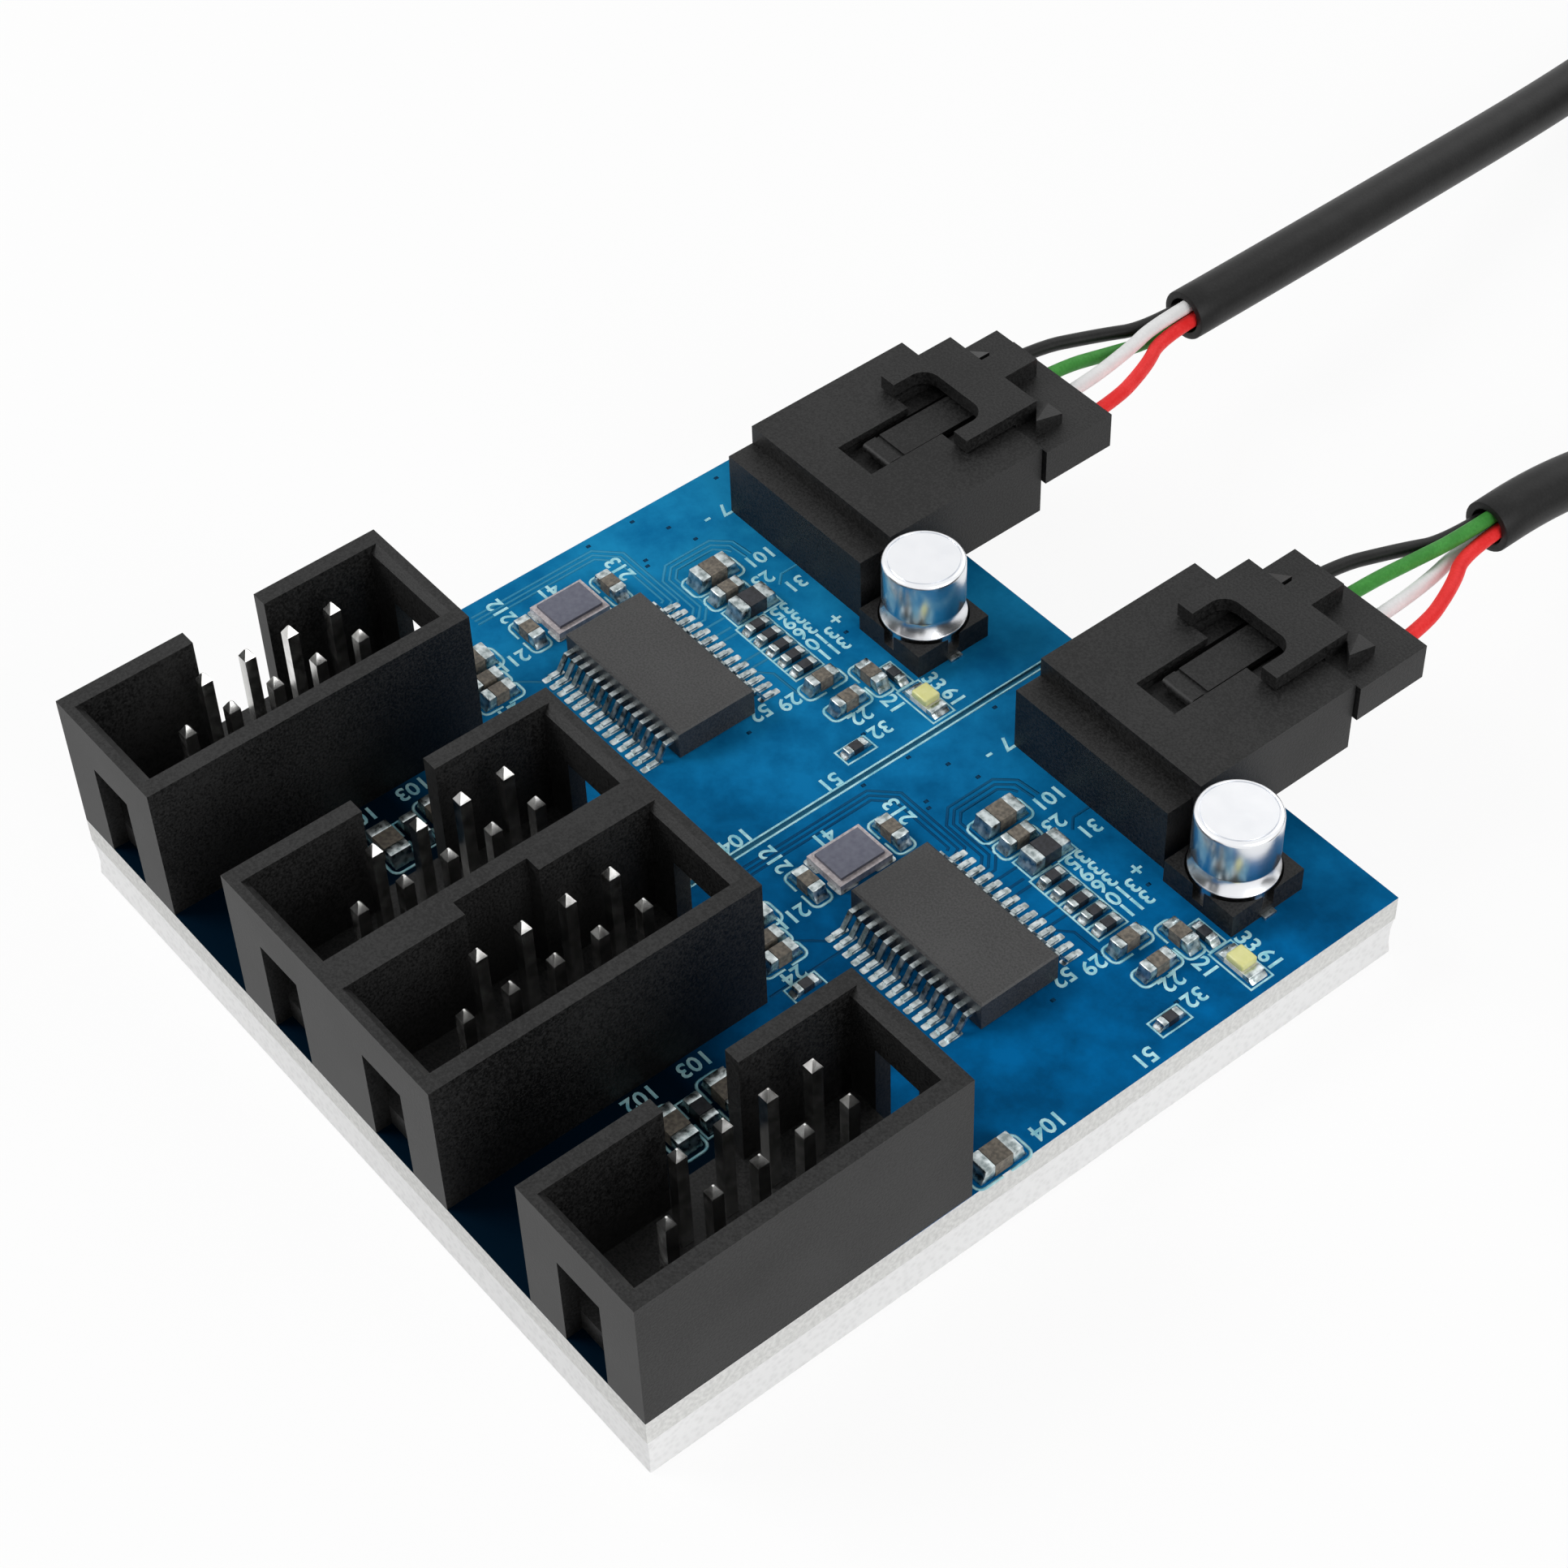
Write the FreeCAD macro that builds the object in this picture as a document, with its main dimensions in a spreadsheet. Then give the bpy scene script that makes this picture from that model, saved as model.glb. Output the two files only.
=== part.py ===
import FreeCAD, Part
import math
import os
import Sketcher

Vector = FreeCAD.Vector

# An internal USB hub card: a square circuit board on a foam pad, with four
# box headers along its front edge, two hub circuits side by side, and two
# cables whose latching plugs are seated in sockets on the rear edge.
# +X runs along the row of headers, +Y towards the cables and +Z up. The
# origin is the middle of the pad's underside. Everything is in millimetres.

doc = FreeCAD.newDocument("usb_hub_card")
sheet = doc.addObject("Spreadsheet::Sheet", "Sizes")


class Size:
    """A length with the sheet formula that it comes from."""

    def __init__(self, value, text):
        self.value = value
        self.text = text

    def __add__(self, other):
        other = as_size(other)
        return Size(self.value + other.value, f"({self.text} + {other.text})")

    def __sub__(self, other):
        other = as_size(other)
        return Size(self.value - other.value, f"({self.text} - {other.text})")

    def __mul__(self, other):
        other = as_size(other)
        return Size(self.value * other.value, f"({self.text} * {other.text})")

    def __truediv__(self, other):
        other = as_size(other)
        return Size(self.value / other.value, f"({self.text} / {other.text})")

    def __neg__(self):
        return as_size(0) - self

    def __radd__(self, other):
        return as_size(other) + self

    def __rsub__(self, other):
        return as_size(other) - self

    def __rmul__(self, other):
        return as_size(other) * self


def as_size(value):
    if isinstance(value, Size):
        return value
    return Size(float(value), f"{float(value):.6f}")


cell_count = 0


def cell(alias, value):
    """Put one driving size on the sheet and give it back as a Size."""
    global cell_count
    cell_count += 1
    sheet.set(f"A{cell_count}", alias)
    sheet.set(f"B{cell_count}", str(value))
    sheet.setAlias(f"B{cell_count}", alias)
    return Size(float(sheet.getContents(f"B{cell_count}")), f"Sizes.{alias}")


# Board and pad
board_width = cell("board_width", 46.5)
circuit_depth = cell("circuit_depth", 27.7)
board_thickness = cell("board_thickness", 1.6)
pad_thickness = cell("pad_thickness", 2.5)
score_width = cell("score_width", 0.5)
score_depth = cell("score_depth", 0.15)

# Box headers and their pins
header_length = cell("header_length", 18.8)
header_width = cell("header_width", 8.4)
header_height = cell("header_height", 8.57)
header_side_wall = cell("header_side_wall", 0.95)
header_end_wall = cell("header_end_wall", 0.9)
header_floor = cell("header_floor", 1.4)
key_notch_width = cell("key_notch_width", 4.2)
end_window_width = cell("end_window_width", 3.04)
end_window_height = cell("end_window_height", 5.87)
header_lead_in = cell("header_lead_in", 0.4)
pin_pitch = cell("pin_pitch", 2.54)
pin_square = cell("pin_square", 0.64)
pin_height = cell("pin_height", 8.17)
pin_point = cell("pin_point", 0.47)
pin_point_flat = cell("pin_point_flat", 0.1)
pin_shift_across = cell("pin_shift_across", 0.25)
pin_shift_along = cell("pin_shift_along", 0.17)
pin_fit = cell("pin_fit", 0.01)
board_hole = cell("board_hole", 1.0)

# Cable sockets
socket_left = cell("socket_left", 8.245)
socket_front = cell("socket_front", 20.28)
socket_width = cell("socket_width", 11.55)
socket_depth = cell("socket_depth", 12.28)
socket_height = cell("socket_height", 5.21)
socket_lift = cell("socket_lift", 0.7)
socket_roof = cell("socket_roof", 0.46)
socket_floor = cell("socket_floor", 0.8)
socket_back_wall = cell("socket_back_wall", 1.0)
ledge_depth = cell("ledge_depth", 1.64)
ledge_height = cell("ledge_height", 4.0)
ledge_width = cell("ledge_width", 11.05)
ledge_foot = cell("ledge_foot", 3.4)
contact_pitch = cell("contact_pitch", 2.25)
contact_offset = cell("contact_offset", 0.92)
contact_height = cell("contact_height", 3.5)
latch_slot_width = cell("latch_slot_width", 2.78)
latch_slot_front = cell("latch_slot_front", 4.04)
latch_gate_width = cell("latch_gate_width", 4.6)
latch_gate_depth = cell("latch_gate_depth", 3.3)
socket_pin_reach = cell("socket_pin_reach", 7.4)
socket_pin_setback = cell("socket_pin_setback", 0.9)

# Latching plugs
plug_width = cell("plug_width", 9.35)
plug_offset = cell("plug_offset", 1.35)
plug_rear = cell("plug_rear", 4.81)
plug_top = cell("plug_top", 5.0)
plug_bottom = cell("plug_bottom", 2.77)
plug_side_wall = cell("plug_side_wall", 0.45)
plug_fit = cell("plug_fit", 0.1)
hood_width = cell("hood_width", 7.05)
hood_front = cell("hood_front", 3.4)
hood_rear = cell("hood_rear", 1.57)
hood_height = cell("hood_height", 6.16)
hood_gap = cell("hood_gap", 0.12)
hood_well_width = cell("hood_well_width", 4.96)
hood_well_depth = cell("hood_well_depth", 2.3)
hood_well_corner = cell("hood_well_corner", 1.0)
latch_width = cell("latch_width", 2.1)
latch_shift = cell("latch_shift", 0.2)
latch_thickness = cell("latch_thickness", 0.4)
latch_drop = cell("latch_drop", 0.12)
latch_relief = cell("latch_relief", 0.4)
latch_reach = cell("latch_reach", 7.1)
latch_nose = cell("latch_nose", 0.3)
latch_groove = cell("latch_groove", 0.12)
gusset_width = cell("gusset_width", 1.2)
gusset_front = cell("gusset_front", 1.1)
gusset_rear = cell("gusset_rear", 0.8)
gusset_drop = cell("gusset_drop", 0.55)
gusset_spacing = cell("gusset_spacing", 5.93)
twin_width = cell("twin_width", 1.9)
twin_drop = cell("twin_drop", 0.05)
rib_width = cell("rib_width", 1.9)
rib_length = cell("rib_length", 2.35)
terminal_bore = cell("terminal_bore", 1.1)
terminal_square = cell("terminal_square", 1.06)
terminal_socket = cell("terminal_socket", 0.68)
terminal_length = cell("terminal_length", 7.2)

# Hub chips
chip_length = cell("chip_length", 9.6)
chip_width = cell("chip_width", 4.9)
chip_height = cell("chip_height", 1.75)
chip_standoff = cell("chip_standoff", 0.1)
chip_edge = cell("chip_edge", 0.1)
chip_across = cell("chip_across", -0.125)
chip_along = cell("chip_along", 9.1)
lead_pitch = cell("lead_pitch", 0.65)
lead_width = cell("lead_width", 0.3)
lead_thickness = cell("lead_thickness", 0.15)
lead_span = cell("lead_span", 8.2)
lead_shoulder = cell("lead_shoulder", 0.45)
lead_foot = cell("lead_foot", 0.65)
lead_rise = cell("lead_rise", 0.9)

# Can capacitors
can_across = cell("can_across", 5.775)
can_along = cell("can_along", 22.1)
can_base_square = cell("can_base_square", 4.8)
can_base_height = cell("can_base_height", 1.5)
can_base_floor = cell("can_base_floor", 0.5)
can_radius = cell("can_radius", 2.23)
can_crimp_radius = cell("can_crimp_radius", 2.35)
can_neck_radius = cell("can_neck_radius", 2.1)
can_crimp_height = cell("can_crimp_height", 1.05)
can_neck_height = cell("can_neck_height", 0.35)
can_height = cell("can_height", 4.9)
can_shoulder = cell("can_shoulder", 0.28)
can_fit = cell("can_fit", 0.08)
tab_width = cell("tab_width", 0.8)
tab_thickness = cell("tab_thickness", 0.15)
tab_inset = cell("tab_inset", 1.9)
tab_outset = cell("tab_outset", 0.3)

# Crystals
crystal_across = cell("crystal_across", -7.615)
crystal_along = cell("crystal_along", 8.79)
crystal_width = cell("crystal_width", 2.65)
crystal_length = cell("crystal_length", 3.35)
crystal_base = cell("crystal_base", 0.45)
crystal_lid = cell("crystal_lid", 0.2)
crystal_rim = cell("crystal_rim", 0.28)

# Chip resistors and capacitors, in three sizes, and the indicator lamp
small_length = cell("small_length", 1.3)
small_width = cell("small_width", 0.56)
small_height = cell("small_height", 0.4)
medium_length = cell("medium_length", 1.75)
medium_width = cell("medium_width", 0.8)
medium_height = cell("medium_height", 0.75)
large_length = cell("large_length", 2.3)
large_width = cell("large_width", 1.2)
large_height = cell("large_height", 0.85)
end_share = cell("end_share", 0.27)
lamp_length = cell("lamp_length", 2.1)
lamp_width = cell("lamp_width", 1.05)
lamp_base_height = cell("lamp_base_height", 0.3)
lamp_height = cell("lamp_height", 0.75)
lamp_lens_length = cell("lamp_lens_length", 1.15)

# Cables
wire_diameter = cell("wire_diameter", 0.8)
wire_fan = cell("wire_fan", 11.3)
wire_fan_drop = cell("wire_fan_drop", 1.5)
wire_ring = cell("wire_ring", 0.58)
cable_diameter = cell("cable_diameter", 3.0)
cable_bore = cell("cable_bore", 2.1)
cable_bore_depth = cell("cable_bore_depth", 1.5)
coil_radius = cell("coil_radius", 16.0)
coil_stub = cell("coil_stub", 10.5)
tie_thickness = cell("tie_thickness", 0.4)
tie_width = cell("tie_width", 3.0)
tie_fit = cell("tie_fit", 0.12)
far_plug_width = cell("far_plug_width", 13.2)
far_plug_length = cell("far_plug_length", 14.0)
far_plug_height = cell("far_plug_height", 4.2)
far_plug_boot = cell("far_plug_boot", 3.0)
far_plug_boot_width = cell("far_plug_boot_width", 5.0)
far_plug_mouth = cell("far_plug_mouth", 0.9)
far_plug_mouth_depth = cell("far_plug_mouth_depth", 8.0)
far_plug_edge = cell("far_plug_edge", 0.3)

# Places that several pieces share
board_depth = header_length + circuit_depth
board_top = pad_thickness + board_thickness
front_edge = -board_depth / 2
header_rear = front_edge + header_length
half_pitch = board_width / 2
SIDES = {"left": -half_pitch / 2, "right": half_pitch / 2}
HEADER_PLACES = [-board_width / 2, -header_width, as_size(0), board_width / 2 - header_width]
PINS_PER_ROW = 5
CONTACTS = 4
CHIP_LEADS_PER_SIDE = 14

sub_parts = []


def bind(feature, name, value):
    feature.setExpression(name, as_size(value).text)


def place(feature, x, y, z):
    for axis, value in zip("xyz", (x, y, z)):
        bind(feature, f"Placement.Base.{axis}", value)


def keep(feature, label):
    """Name a finished sub-part, which is then written to its own file."""
    feature.Label = label
    sub_parts.append(feature)
    return feature


# Sketches and features of a body
# Every body is drawn from its lowest corner, so sketch places are never negative.
def new_body(name):
    return doc.addObject("PartDesign::Body", name)


def sketch_on(body, role, level):
    sketch = body.newObject("Sketcher::SketchObject", "Sketch")
    origin_plane = next(plane for plane in body.Origin.OriginFeatures if plane.Role == role)
    sketch.AttachmentSupport = [(origin_plane, "")]
    sketch.MapMode = "FlatFace"
    bind(sketch, "AttachmentOffset.Base.z", level)
    return sketch


def fix_corner(sketch, line, x, y):
    for kind, axis, value in (("DistanceX", -2, as_size(x)), ("DistanceY", -1, as_size(y))):
        if value.value == 0:
            sketch.addConstraint(Sketcher.Constraint("PointOnObject", line, 1, axis))
        else:
            index = sketch.addConstraint(Sketcher.Constraint(kind, -1, 1, line, 1, value.value))
            sketch.setExpression(f"Constraints[{index}]", value.text)


def polygon(sketch, corners):
    first = sketch.GeometryCount
    count = len(corners)
    points = [Vector(as_size(x).value, as_size(y).value, 0) for x, y in corners]
    for index in range(count):
        sketch.addGeometry(Part.LineSegment(points[index], points[(index + 1) % count]))
    for index in range(count):
        following = first + (index + 1) % count
        sketch.addConstraint(Sketcher.Constraint("Coincident", first + index, 2, following, 1))
    for index, (x, y) in enumerate(corners):
        fix_corner(sketch, first + index, x, y)
    return sketch


def rectangle(sketch, x, y, width, height):
    return polygon(sketch, [(x, y), (x + width, y), (x + width, y + height), (x, y + height)])


def pad(body, sketch, length, backwards=False):
    feature = body.newObject("PartDesign::Pad", "Pad")
    feature.Profile = sketch
    bind(feature, "Length", length)
    feature.Reversed = backwards
    return feature


def pocket(body, sketch, length, backwards=False):
    feature = body.newObject("PartDesign::Pocket", "Pocket")
    feature.Profile = sketch
    bind(feature, "Length", length)
    feature.Reversed = backwards
    return feature


def edges_where(feature, test, along):
    """Names of the feature's straight edges along these axes whose ends pass the test."""
    doc.recompute()
    names = []
    for number, edge in enumerate(feature.Shape.Edges, start=1):
        if len(edge.Vertexes) != 2:
            continue
        start, end = (vertex.Point for vertex in edge.Vertexes)
        run = end - start
        axis = max("xyz", key=lambda name: abs(getattr(run, name)))
        if axis in along and test(start) and test(end):
            names.append(f"Edge{number}")
    return names


def dress(body, kind, feature, test, along, size):
    dressing = body.newObject(f"PartDesign::{kind}", kind)
    dressing.Base = (feature, edges_where(feature, test, along))
    bind(dressing, "Radius" if kind == "Fillet" else "Size", size)
    return dressing


def near(value, size):
    return abs(value - as_size(size).value) < 1e-4


# Primitives and groups
def box(x, y, z, length, width, height, name="Box"):
    feature = doc.addObject("Part::Box", name)
    bind(feature, "Length", length)
    bind(feature, "Width", width)
    bind(feature, "Height", height)
    place(feature, x, y, z)
    return feature


def cylinder(x, y, z, radius, height, name="Cylinder"):
    feature = doc.addObject("Part::Cylinder", name)
    bind(feature, "Radius", radius)
    bind(feature, "Height", height)
    place(feature, x, y, z)
    return feature


def group(members, name="Group"):
    feature = doc.addObject("Part::Compound", name)
    feature.Links = members
    return feature


def cut(base, tool, name="Cut"):
    feature = doc.addObject("Part::Cut", name)
    feature.Base = base
    feature.Tool = tool
    return feature


def copies(master, places, label):
    """One sub-part made of the master's shape set down at every place."""
    doc.recompute()
    shapes = []
    for spot in places:
        shape = master.Shape.copy()
        shape.Placement = spot.multiply(shape.Placement)
        shapes.append(shape)
    feature = doc.addObject("Part::Feature", label)
    feature.Shape = Part.Compound(shapes)
    return keep(feature, label)


def spot(x, y, z, turn=0):
    corner = Vector(as_size(x).value, as_size(y).value, as_size(z).value)
    return FreeCAD.Placement(corner, FreeCAD.Rotation(Vector(0, 0, 1), turn))


# Where the pins and contacts stand
def header_pin_places():
    """Pin centres from the header's lowest corner, a little nearer its notch; the key place has no pin."""
    first_row = (header_width - pin_pitch) / 2 - pin_shift_across
    first_pin = (header_length - pin_pitch * (PINS_PER_ROW - 1)) / 2 - pin_shift_along
    places = []
    for row in range(2):
        for number in range(PINS_PER_ROW):
            if row == 0 and number == 0:
                continue
            places.append((first_row + pin_pitch * row, first_pin + pin_pitch * number))
    return places


def contact_places():
    """Contact centres from the socket's left side."""
    first = socket_width / 2 + contact_offset - contact_pitch * (CONTACTS - 1) / 2
    return [first + contact_pitch * number for number in range(CONTACTS)]


def socket_corner(middle):
    return middle - socket_left, header_rear + socket_front


# Board and pad
def make_board_and_pad():
    keep(box(-board_width / 2, front_edge, 0, board_width, board_depth, pad_thickness), "adhesive_pad")
    plate = box(-board_width / 2, front_edge, pad_thickness, board_width, board_depth, board_thickness)
    holes = []
    for corner in HEADER_PLACES:
        for x, y in header_pin_places():
            holes.append((corner + x, front_edge + y))
    for middle in SIDES.values():
        left, front = socket_corner(middle)
        for x in contact_places():
            holes.append((left + x, front + socket_pin_setback))
    tools = [cylinder(x, y, pad_thickness, board_hole / 2, board_thickness) for x, y in holes]
    tools.append(box(-score_width / 2, header_rear, board_top - score_depth,
                     score_width, circuit_depth, score_depth))
    keep(cut(plate, group(tools)), "circuit_board")


# Box headers: an open box with a key notch, a window in each end and a pinned floor
def make_header(number, corner):
    body = new_body(f"header_{number}")
    inner_width = header_width - header_side_wall * 2
    inner_length = header_length - header_end_wall * 2
    outline = rectangle(sketch_on(body, "XY_Plane", 0), 0, 0, header_width, header_length)
    pad(body, outline, header_height)
    well = rectangle(sketch_on(body, "XY_Plane", header_height),
                     header_side_wall, header_end_wall, inner_width, inner_length)
    hollow = pocket(body, well, header_height - header_floor)

    def on_end_rim(point):
        at_rim = near(point.z, header_height)
        return at_rim and (near(point.y, header_end_wall) or near(point.y, header_length - header_end_wall))

    dress(body, "Chamfer", hollow, on_end_rim, "x", header_lead_in)
    notch = rectangle(sketch_on(body, "XY_Plane", header_height),
                      0, (header_length - key_notch_width) / 2, header_side_wall, key_notch_width)
    pocket(body, notch, header_height - header_floor)
    for wall_front in (as_size(0), header_length - header_end_wall):
        window = rectangle(sketch_on(body, "XZ_Plane", -wall_front),
                           (header_width - end_window_width) / 2, 0, end_window_width, end_window_height)
        pocket(body, window, header_end_wall)
    seats = sketch_on(body, "XY_Plane", header_floor)
    seat = pin_square + pin_fit * 2
    for x, y in header_pin_places():
        rectangle(seats, x - seat / 2, y - seat / 2, seat, seat)
    pocket(body, seats, header_floor)
    place(body, corner, front_edge, board_top)
    keep(body, f"box_header_{number}")


def make_header_pin():
    """A square pin, flush with the board's underside, drawn out to a blunt point."""
    body = new_body("header_pin")
    shaft = board_thickness + pin_height - pin_point
    inset = (pin_square - pin_point_flat) / 2
    pad(body, rectangle(sketch_on(body, "XY_Plane", 0), 0, 0, pin_square, pin_square), shaft)
    loft = body.newObject("PartDesign::AdditiveLoft", "Point")
    loft.Profile = rectangle(sketch_on(body, "XY_Plane", shaft), 0, 0, pin_square, pin_square)
    loft.Sections = [rectangle(sketch_on(body, "XY_Plane", shaft + pin_point),
                               inset, inset, pin_point_flat, pin_point_flat)]
    return body


def make_headers():
    pin = make_header_pin()
    for number, corner in enumerate(HEADER_PLACES, start=1):
        make_header(number, corner)
        places = []
        for x, y in header_pin_places():
            places.append(spot(corner + x - pin_square / 2, front_edge + y - pin_square / 2, pad_thickness))
        copies(pin, places, f"header_pins_{number}")


# Cable sockets: a shroud lying on its side, open to the rear, on a solid foot
def make_socket(side, middle):
    body = new_body(f"socket_{side}")
    foot = rectangle(sketch_on(body, "XY_Plane", 0), 0, 0, ledge_width, ledge_foot)
    pad(body, foot, ledge_height)
    shroud = rectangle(sketch_on(body, "XY_Plane", socket_lift),
                       0, ledge_depth, socket_width, socket_depth - ledge_depth)
    pad(body, shroud, socket_height - socket_lift)
    cave_left, cave_width = plug_cave()
    cave = rectangle(sketch_on(body, "XZ_Plane", -socket_depth), cave_left, socket_lift + socket_floor,
                     cave_width, socket_height - socket_roof - socket_lift - socket_floor)
    cave_depth = socket_depth - ledge_depth - socket_back_wall
    pocket(body, cave, cave_depth, backwards=True)
    slot = rectangle(sketch_on(body, "XY_Plane", socket_height), (socket_width - latch_slot_width) / 2,
                     latch_slot_front, latch_slot_width, socket_depth - latch_slot_front)
    pocket(body, slot, socket_roof)
    gate = rectangle(sketch_on(body, "XY_Plane", socket_height), (socket_width - latch_gate_width) / 2,
                     socket_depth - latch_gate_depth, latch_gate_width, latch_gate_depth)
    pocket(body, gate, socket_roof)
    seat = pin_square + pin_fit * 2
    shafts = sketch_on(body, "XY_Plane", 0)
    bores = sketch_on(body, "XZ_Plane", -(socket_depth - cave_depth))
    for x in contact_places():
        rectangle(shafts, x - seat / 2, socket_pin_setback - seat / 2, seat, seat)
        rectangle(bores, x - seat / 2, contact_height - seat / 2, seat, seat)
    pocket(body, shafts, contact_height + seat / 2, backwards=True)
    pocket(body, bores, socket_depth - cave_depth - socket_pin_setback, backwards=True)
    left, front = socket_corner(middle)
    place(body, left, front, board_top)
    keep(body, f"cable_socket_{side}")


def plug_cave():
    """Left side and width of the socket's cavity, from the socket's left side."""
    width = contact_pitch * (CONTACTS - 1) + terminal_bore + plug_side_wall * 2 + plug_fit * 2
    return socket_width / 2 + contact_offset - width / 2, width


def make_socket_pin():
    """A square pin bent to a right angle: down through the board and back into the plug."""
    body = new_body("socket_pin")
    drop = board_thickness + contact_height + pin_square / 2
    elbow = drop - pin_square
    profile = [(0, 0), (pin_square, 0), (pin_square, elbow), (socket_pin_reach, elbow),
               (socket_pin_reach, drop), (0, drop)]
    pad(body, polygon(sketch_on(body, "YZ_Plane", 0), profile), pin_square)
    return body


def make_sockets():
    pin = make_socket_pin()
    for side, middle in SIDES.items():
        make_socket(side, middle)
        left, front = socket_corner(middle)
        places = []
        for x in contact_places():
            places.append(spot(left + x - pin_square / 2, front + socket_pin_setback - pin_square / 2,
                               pad_thickness))
        copies(pin, places, f"socket_pins_{side}")


# Latching plugs
# A plug is drawn from the front end of its nose, the part inside the socket, and from
# the board's top, with the socket's left side as its own left side.
def make_plug(side, middle):
    body = new_body(f"plug_{side}")
    cave_left, cave_width = plug_cave()
    nose_start = ledge_depth + socket_back_wall + plug_fit * 2
    nose = socket_depth - nose_start
    whole = nose + plug_rear
    nose_bottom = socket_lift + socket_floor + plug_fit
    nose_top = socket_height - socket_roof - plug_fit
    centre = socket_width / 2
    rim = nose + plug_fit

    inner = rectangle(sketch_on(body, "XY_Plane", nose_bottom),
                      cave_left + plug_fit, 0, cave_width - plug_fit * 2, rim)
    pad(body, inner, nose_top - nose_bottom)
    grip = rectangle(sketch_on(body, "XY_Plane", plug_bottom),
                     centre + plug_offset - plug_width / 2, rim, plug_width, whole - rim)
    pad(body, grip, plug_top - plug_bottom)

    hood_left = centre - hood_width / 2
    hood_start = nose - hood_front
    hood_end = nose + hood_rear
    hood_floor = socket_height + hood_gap
    cover = rectangle(sketch_on(body, "XY_Plane", hood_floor),
                      hood_left, hood_start, hood_width, hood_end - hood_start)
    pad(body, cover, hood_height - hood_floor)
    step = rectangle(sketch_on(body, "XY_Plane", plug_top),
                     hood_left, rim, hood_width, hood_end - rim)
    pad(body, step, hood_height - plug_top)
    well = rectangle(sketch_on(body, "XY_Plane", hood_height), centre - hood_well_width / 2,
                     hood_start, hood_well_width, hood_well_depth)
    opened = pocket(body, well, hood_height - hood_floor)

    def in_well_corner(point):
        at_back = near(point.y, hood_start + hood_well_depth)
        at_side = near(abs(point.x - centre.value), hood_well_width / 2)
        return at_back and at_side

    dress(body, "Fillet", opened, in_well_corner, "z", hood_well_corner)

    relief = rectangle(sketch_on(body, "XY_Plane", nose_top), centre - latch_slot_width / 2,
                       0, latch_slot_width, rim)
    pocket(body, relief, latch_relief)
    latch_top = socket_height - latch_drop
    latch_left = centre + latch_shift - latch_width / 2
    tongue_start = rim - latch_reach
    tongue = rectangle(sketch_on(body, "YZ_Plane", latch_left),
                       tongue_start, latch_top - latch_thickness, rim + hood_rear / 2 - tongue_start,
                       latch_thickness)
    arm = pad(body, tongue, latch_width)

    def on_nose_edge(point):
        return near(point.y, tongue_start) and near(point.z, latch_top)

    dress(body, "Fillet", arm, on_nose_edge, "x", latch_nose)
    groove = rectangle(sketch_on(body, "XY_Plane", latch_top), latch_left,
                       tongue_start + latch_nose * 3, latch_width, latch_nose)
    pocket(body, groove, latch_groove)

    make_gussets(body, hood_left + hood_width, hood_end)
    rib = rectangle(sketch_on(body, "XY_Plane", plug_top), centre - rib_width / 2,
                    hood_end, rib_width, rib_length)
    pad(body, rib, hood_height - plug_top)

    bores = sketch_on(body, "XZ_Plane", -whole)
    for x in contact_places():
        rectangle(bores, x - terminal_bore / 2, contact_height - terminal_bore / 2,
                  terminal_bore, terminal_bore)
    pocket(body, bores, whole, backwards=True)
    left, front = socket_corner(middle)
    place(body, left, front + nose_start, board_top)
    keep(body, f"latch_plug_{side}")


def make_gussets(body, hood_right, hood_end):
    """Two small wedges that brace the hood from behind, highest on their right sides."""
    ridge = hood_right + gusset_width
    root = hood_right - gusset_width
    front = hood_end - gusset_front
    back = hood_end + gusset_rear
    crest = hood_height - gusset_drop
    section = [(root, plug_top), (ridge, plug_top), (ridge, hood_height)]
    pad(body, polygon(sketch_on(body, "XZ_Plane", -front), section), back - front, backwards=True)
    corner = [(hood_right, front), (ridge, front), (hood_right, hood_end)]
    pocket(body, polygon(sketch_on(body, "XY_Plane", hood_height), corner), hood_height - plug_top)
    fall = [(front, hood_height), (back, crest), (back, hood_height)]
    pocket(body, polygon(sketch_on(body, "YZ_Plane", hood_right), fall), gusset_width, backwards=True)
    twin_right = ridge - gusset_spacing
    twin_left = twin_right - twin_width
    twin = [(twin_left, plug_top), (twin_right, plug_top), (twin_right, hood_height - twin_drop)]
    pad(body, polygon(sketch_on(body, "XZ_Plane", -hood_end), twin), gusset_rear, backwards=True)


def make_terminal():
    """A crimp terminal: a square box, open at the front for the socket's pin."""
    body = new_body("terminal")
    pad(body, rectangle(sketch_on(body, "XZ_Plane", 0), 0, 0, terminal_square, terminal_square),
        terminal_length, backwards=True)
    wall = (terminal_square - terminal_socket) / 2
    mouth = rectangle(sketch_on(body, "XZ_Plane", 0), wall, wall, terminal_socket, terminal_socket)
    pocket(body, mouth, terminal_length - terminal_square)
    return body


def terminal_start():
    return ledge_depth + socket_back_wall + plug_fit * 4


def make_plugs():
    terminal = make_terminal()
    for side, middle in SIDES.items():
        make_plug(side, middle)
        left, front = socket_corner(middle)
        places = []
        for x in contact_places():
            places.append(spot(left + x - terminal_square / 2, front + terminal_start(),
                               board_top + contact_height - terminal_square / 2))
        copies(terminal, places, f"crimp_terminals_{side}")


# Hub chips with their gull-wing leads
def make_chip_lead():
    body = new_body("chip_lead")
    out = (lead_span - chip_width) / 2
    bend = out - lead_foot
    profile = [(0, lead_rise), (lead_shoulder, lead_rise), (bend, 0), (out, 0), (out, lead_thickness),
               (bend + lead_thickness / 2, lead_thickness),
               (lead_shoulder + lead_thickness / 2, lead_rise + lead_thickness),
               (0, lead_rise + lead_thickness)]
    pad(body, polygon(sketch_on(body, "YZ_Plane", 0), profile), lead_width)
    return body


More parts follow.
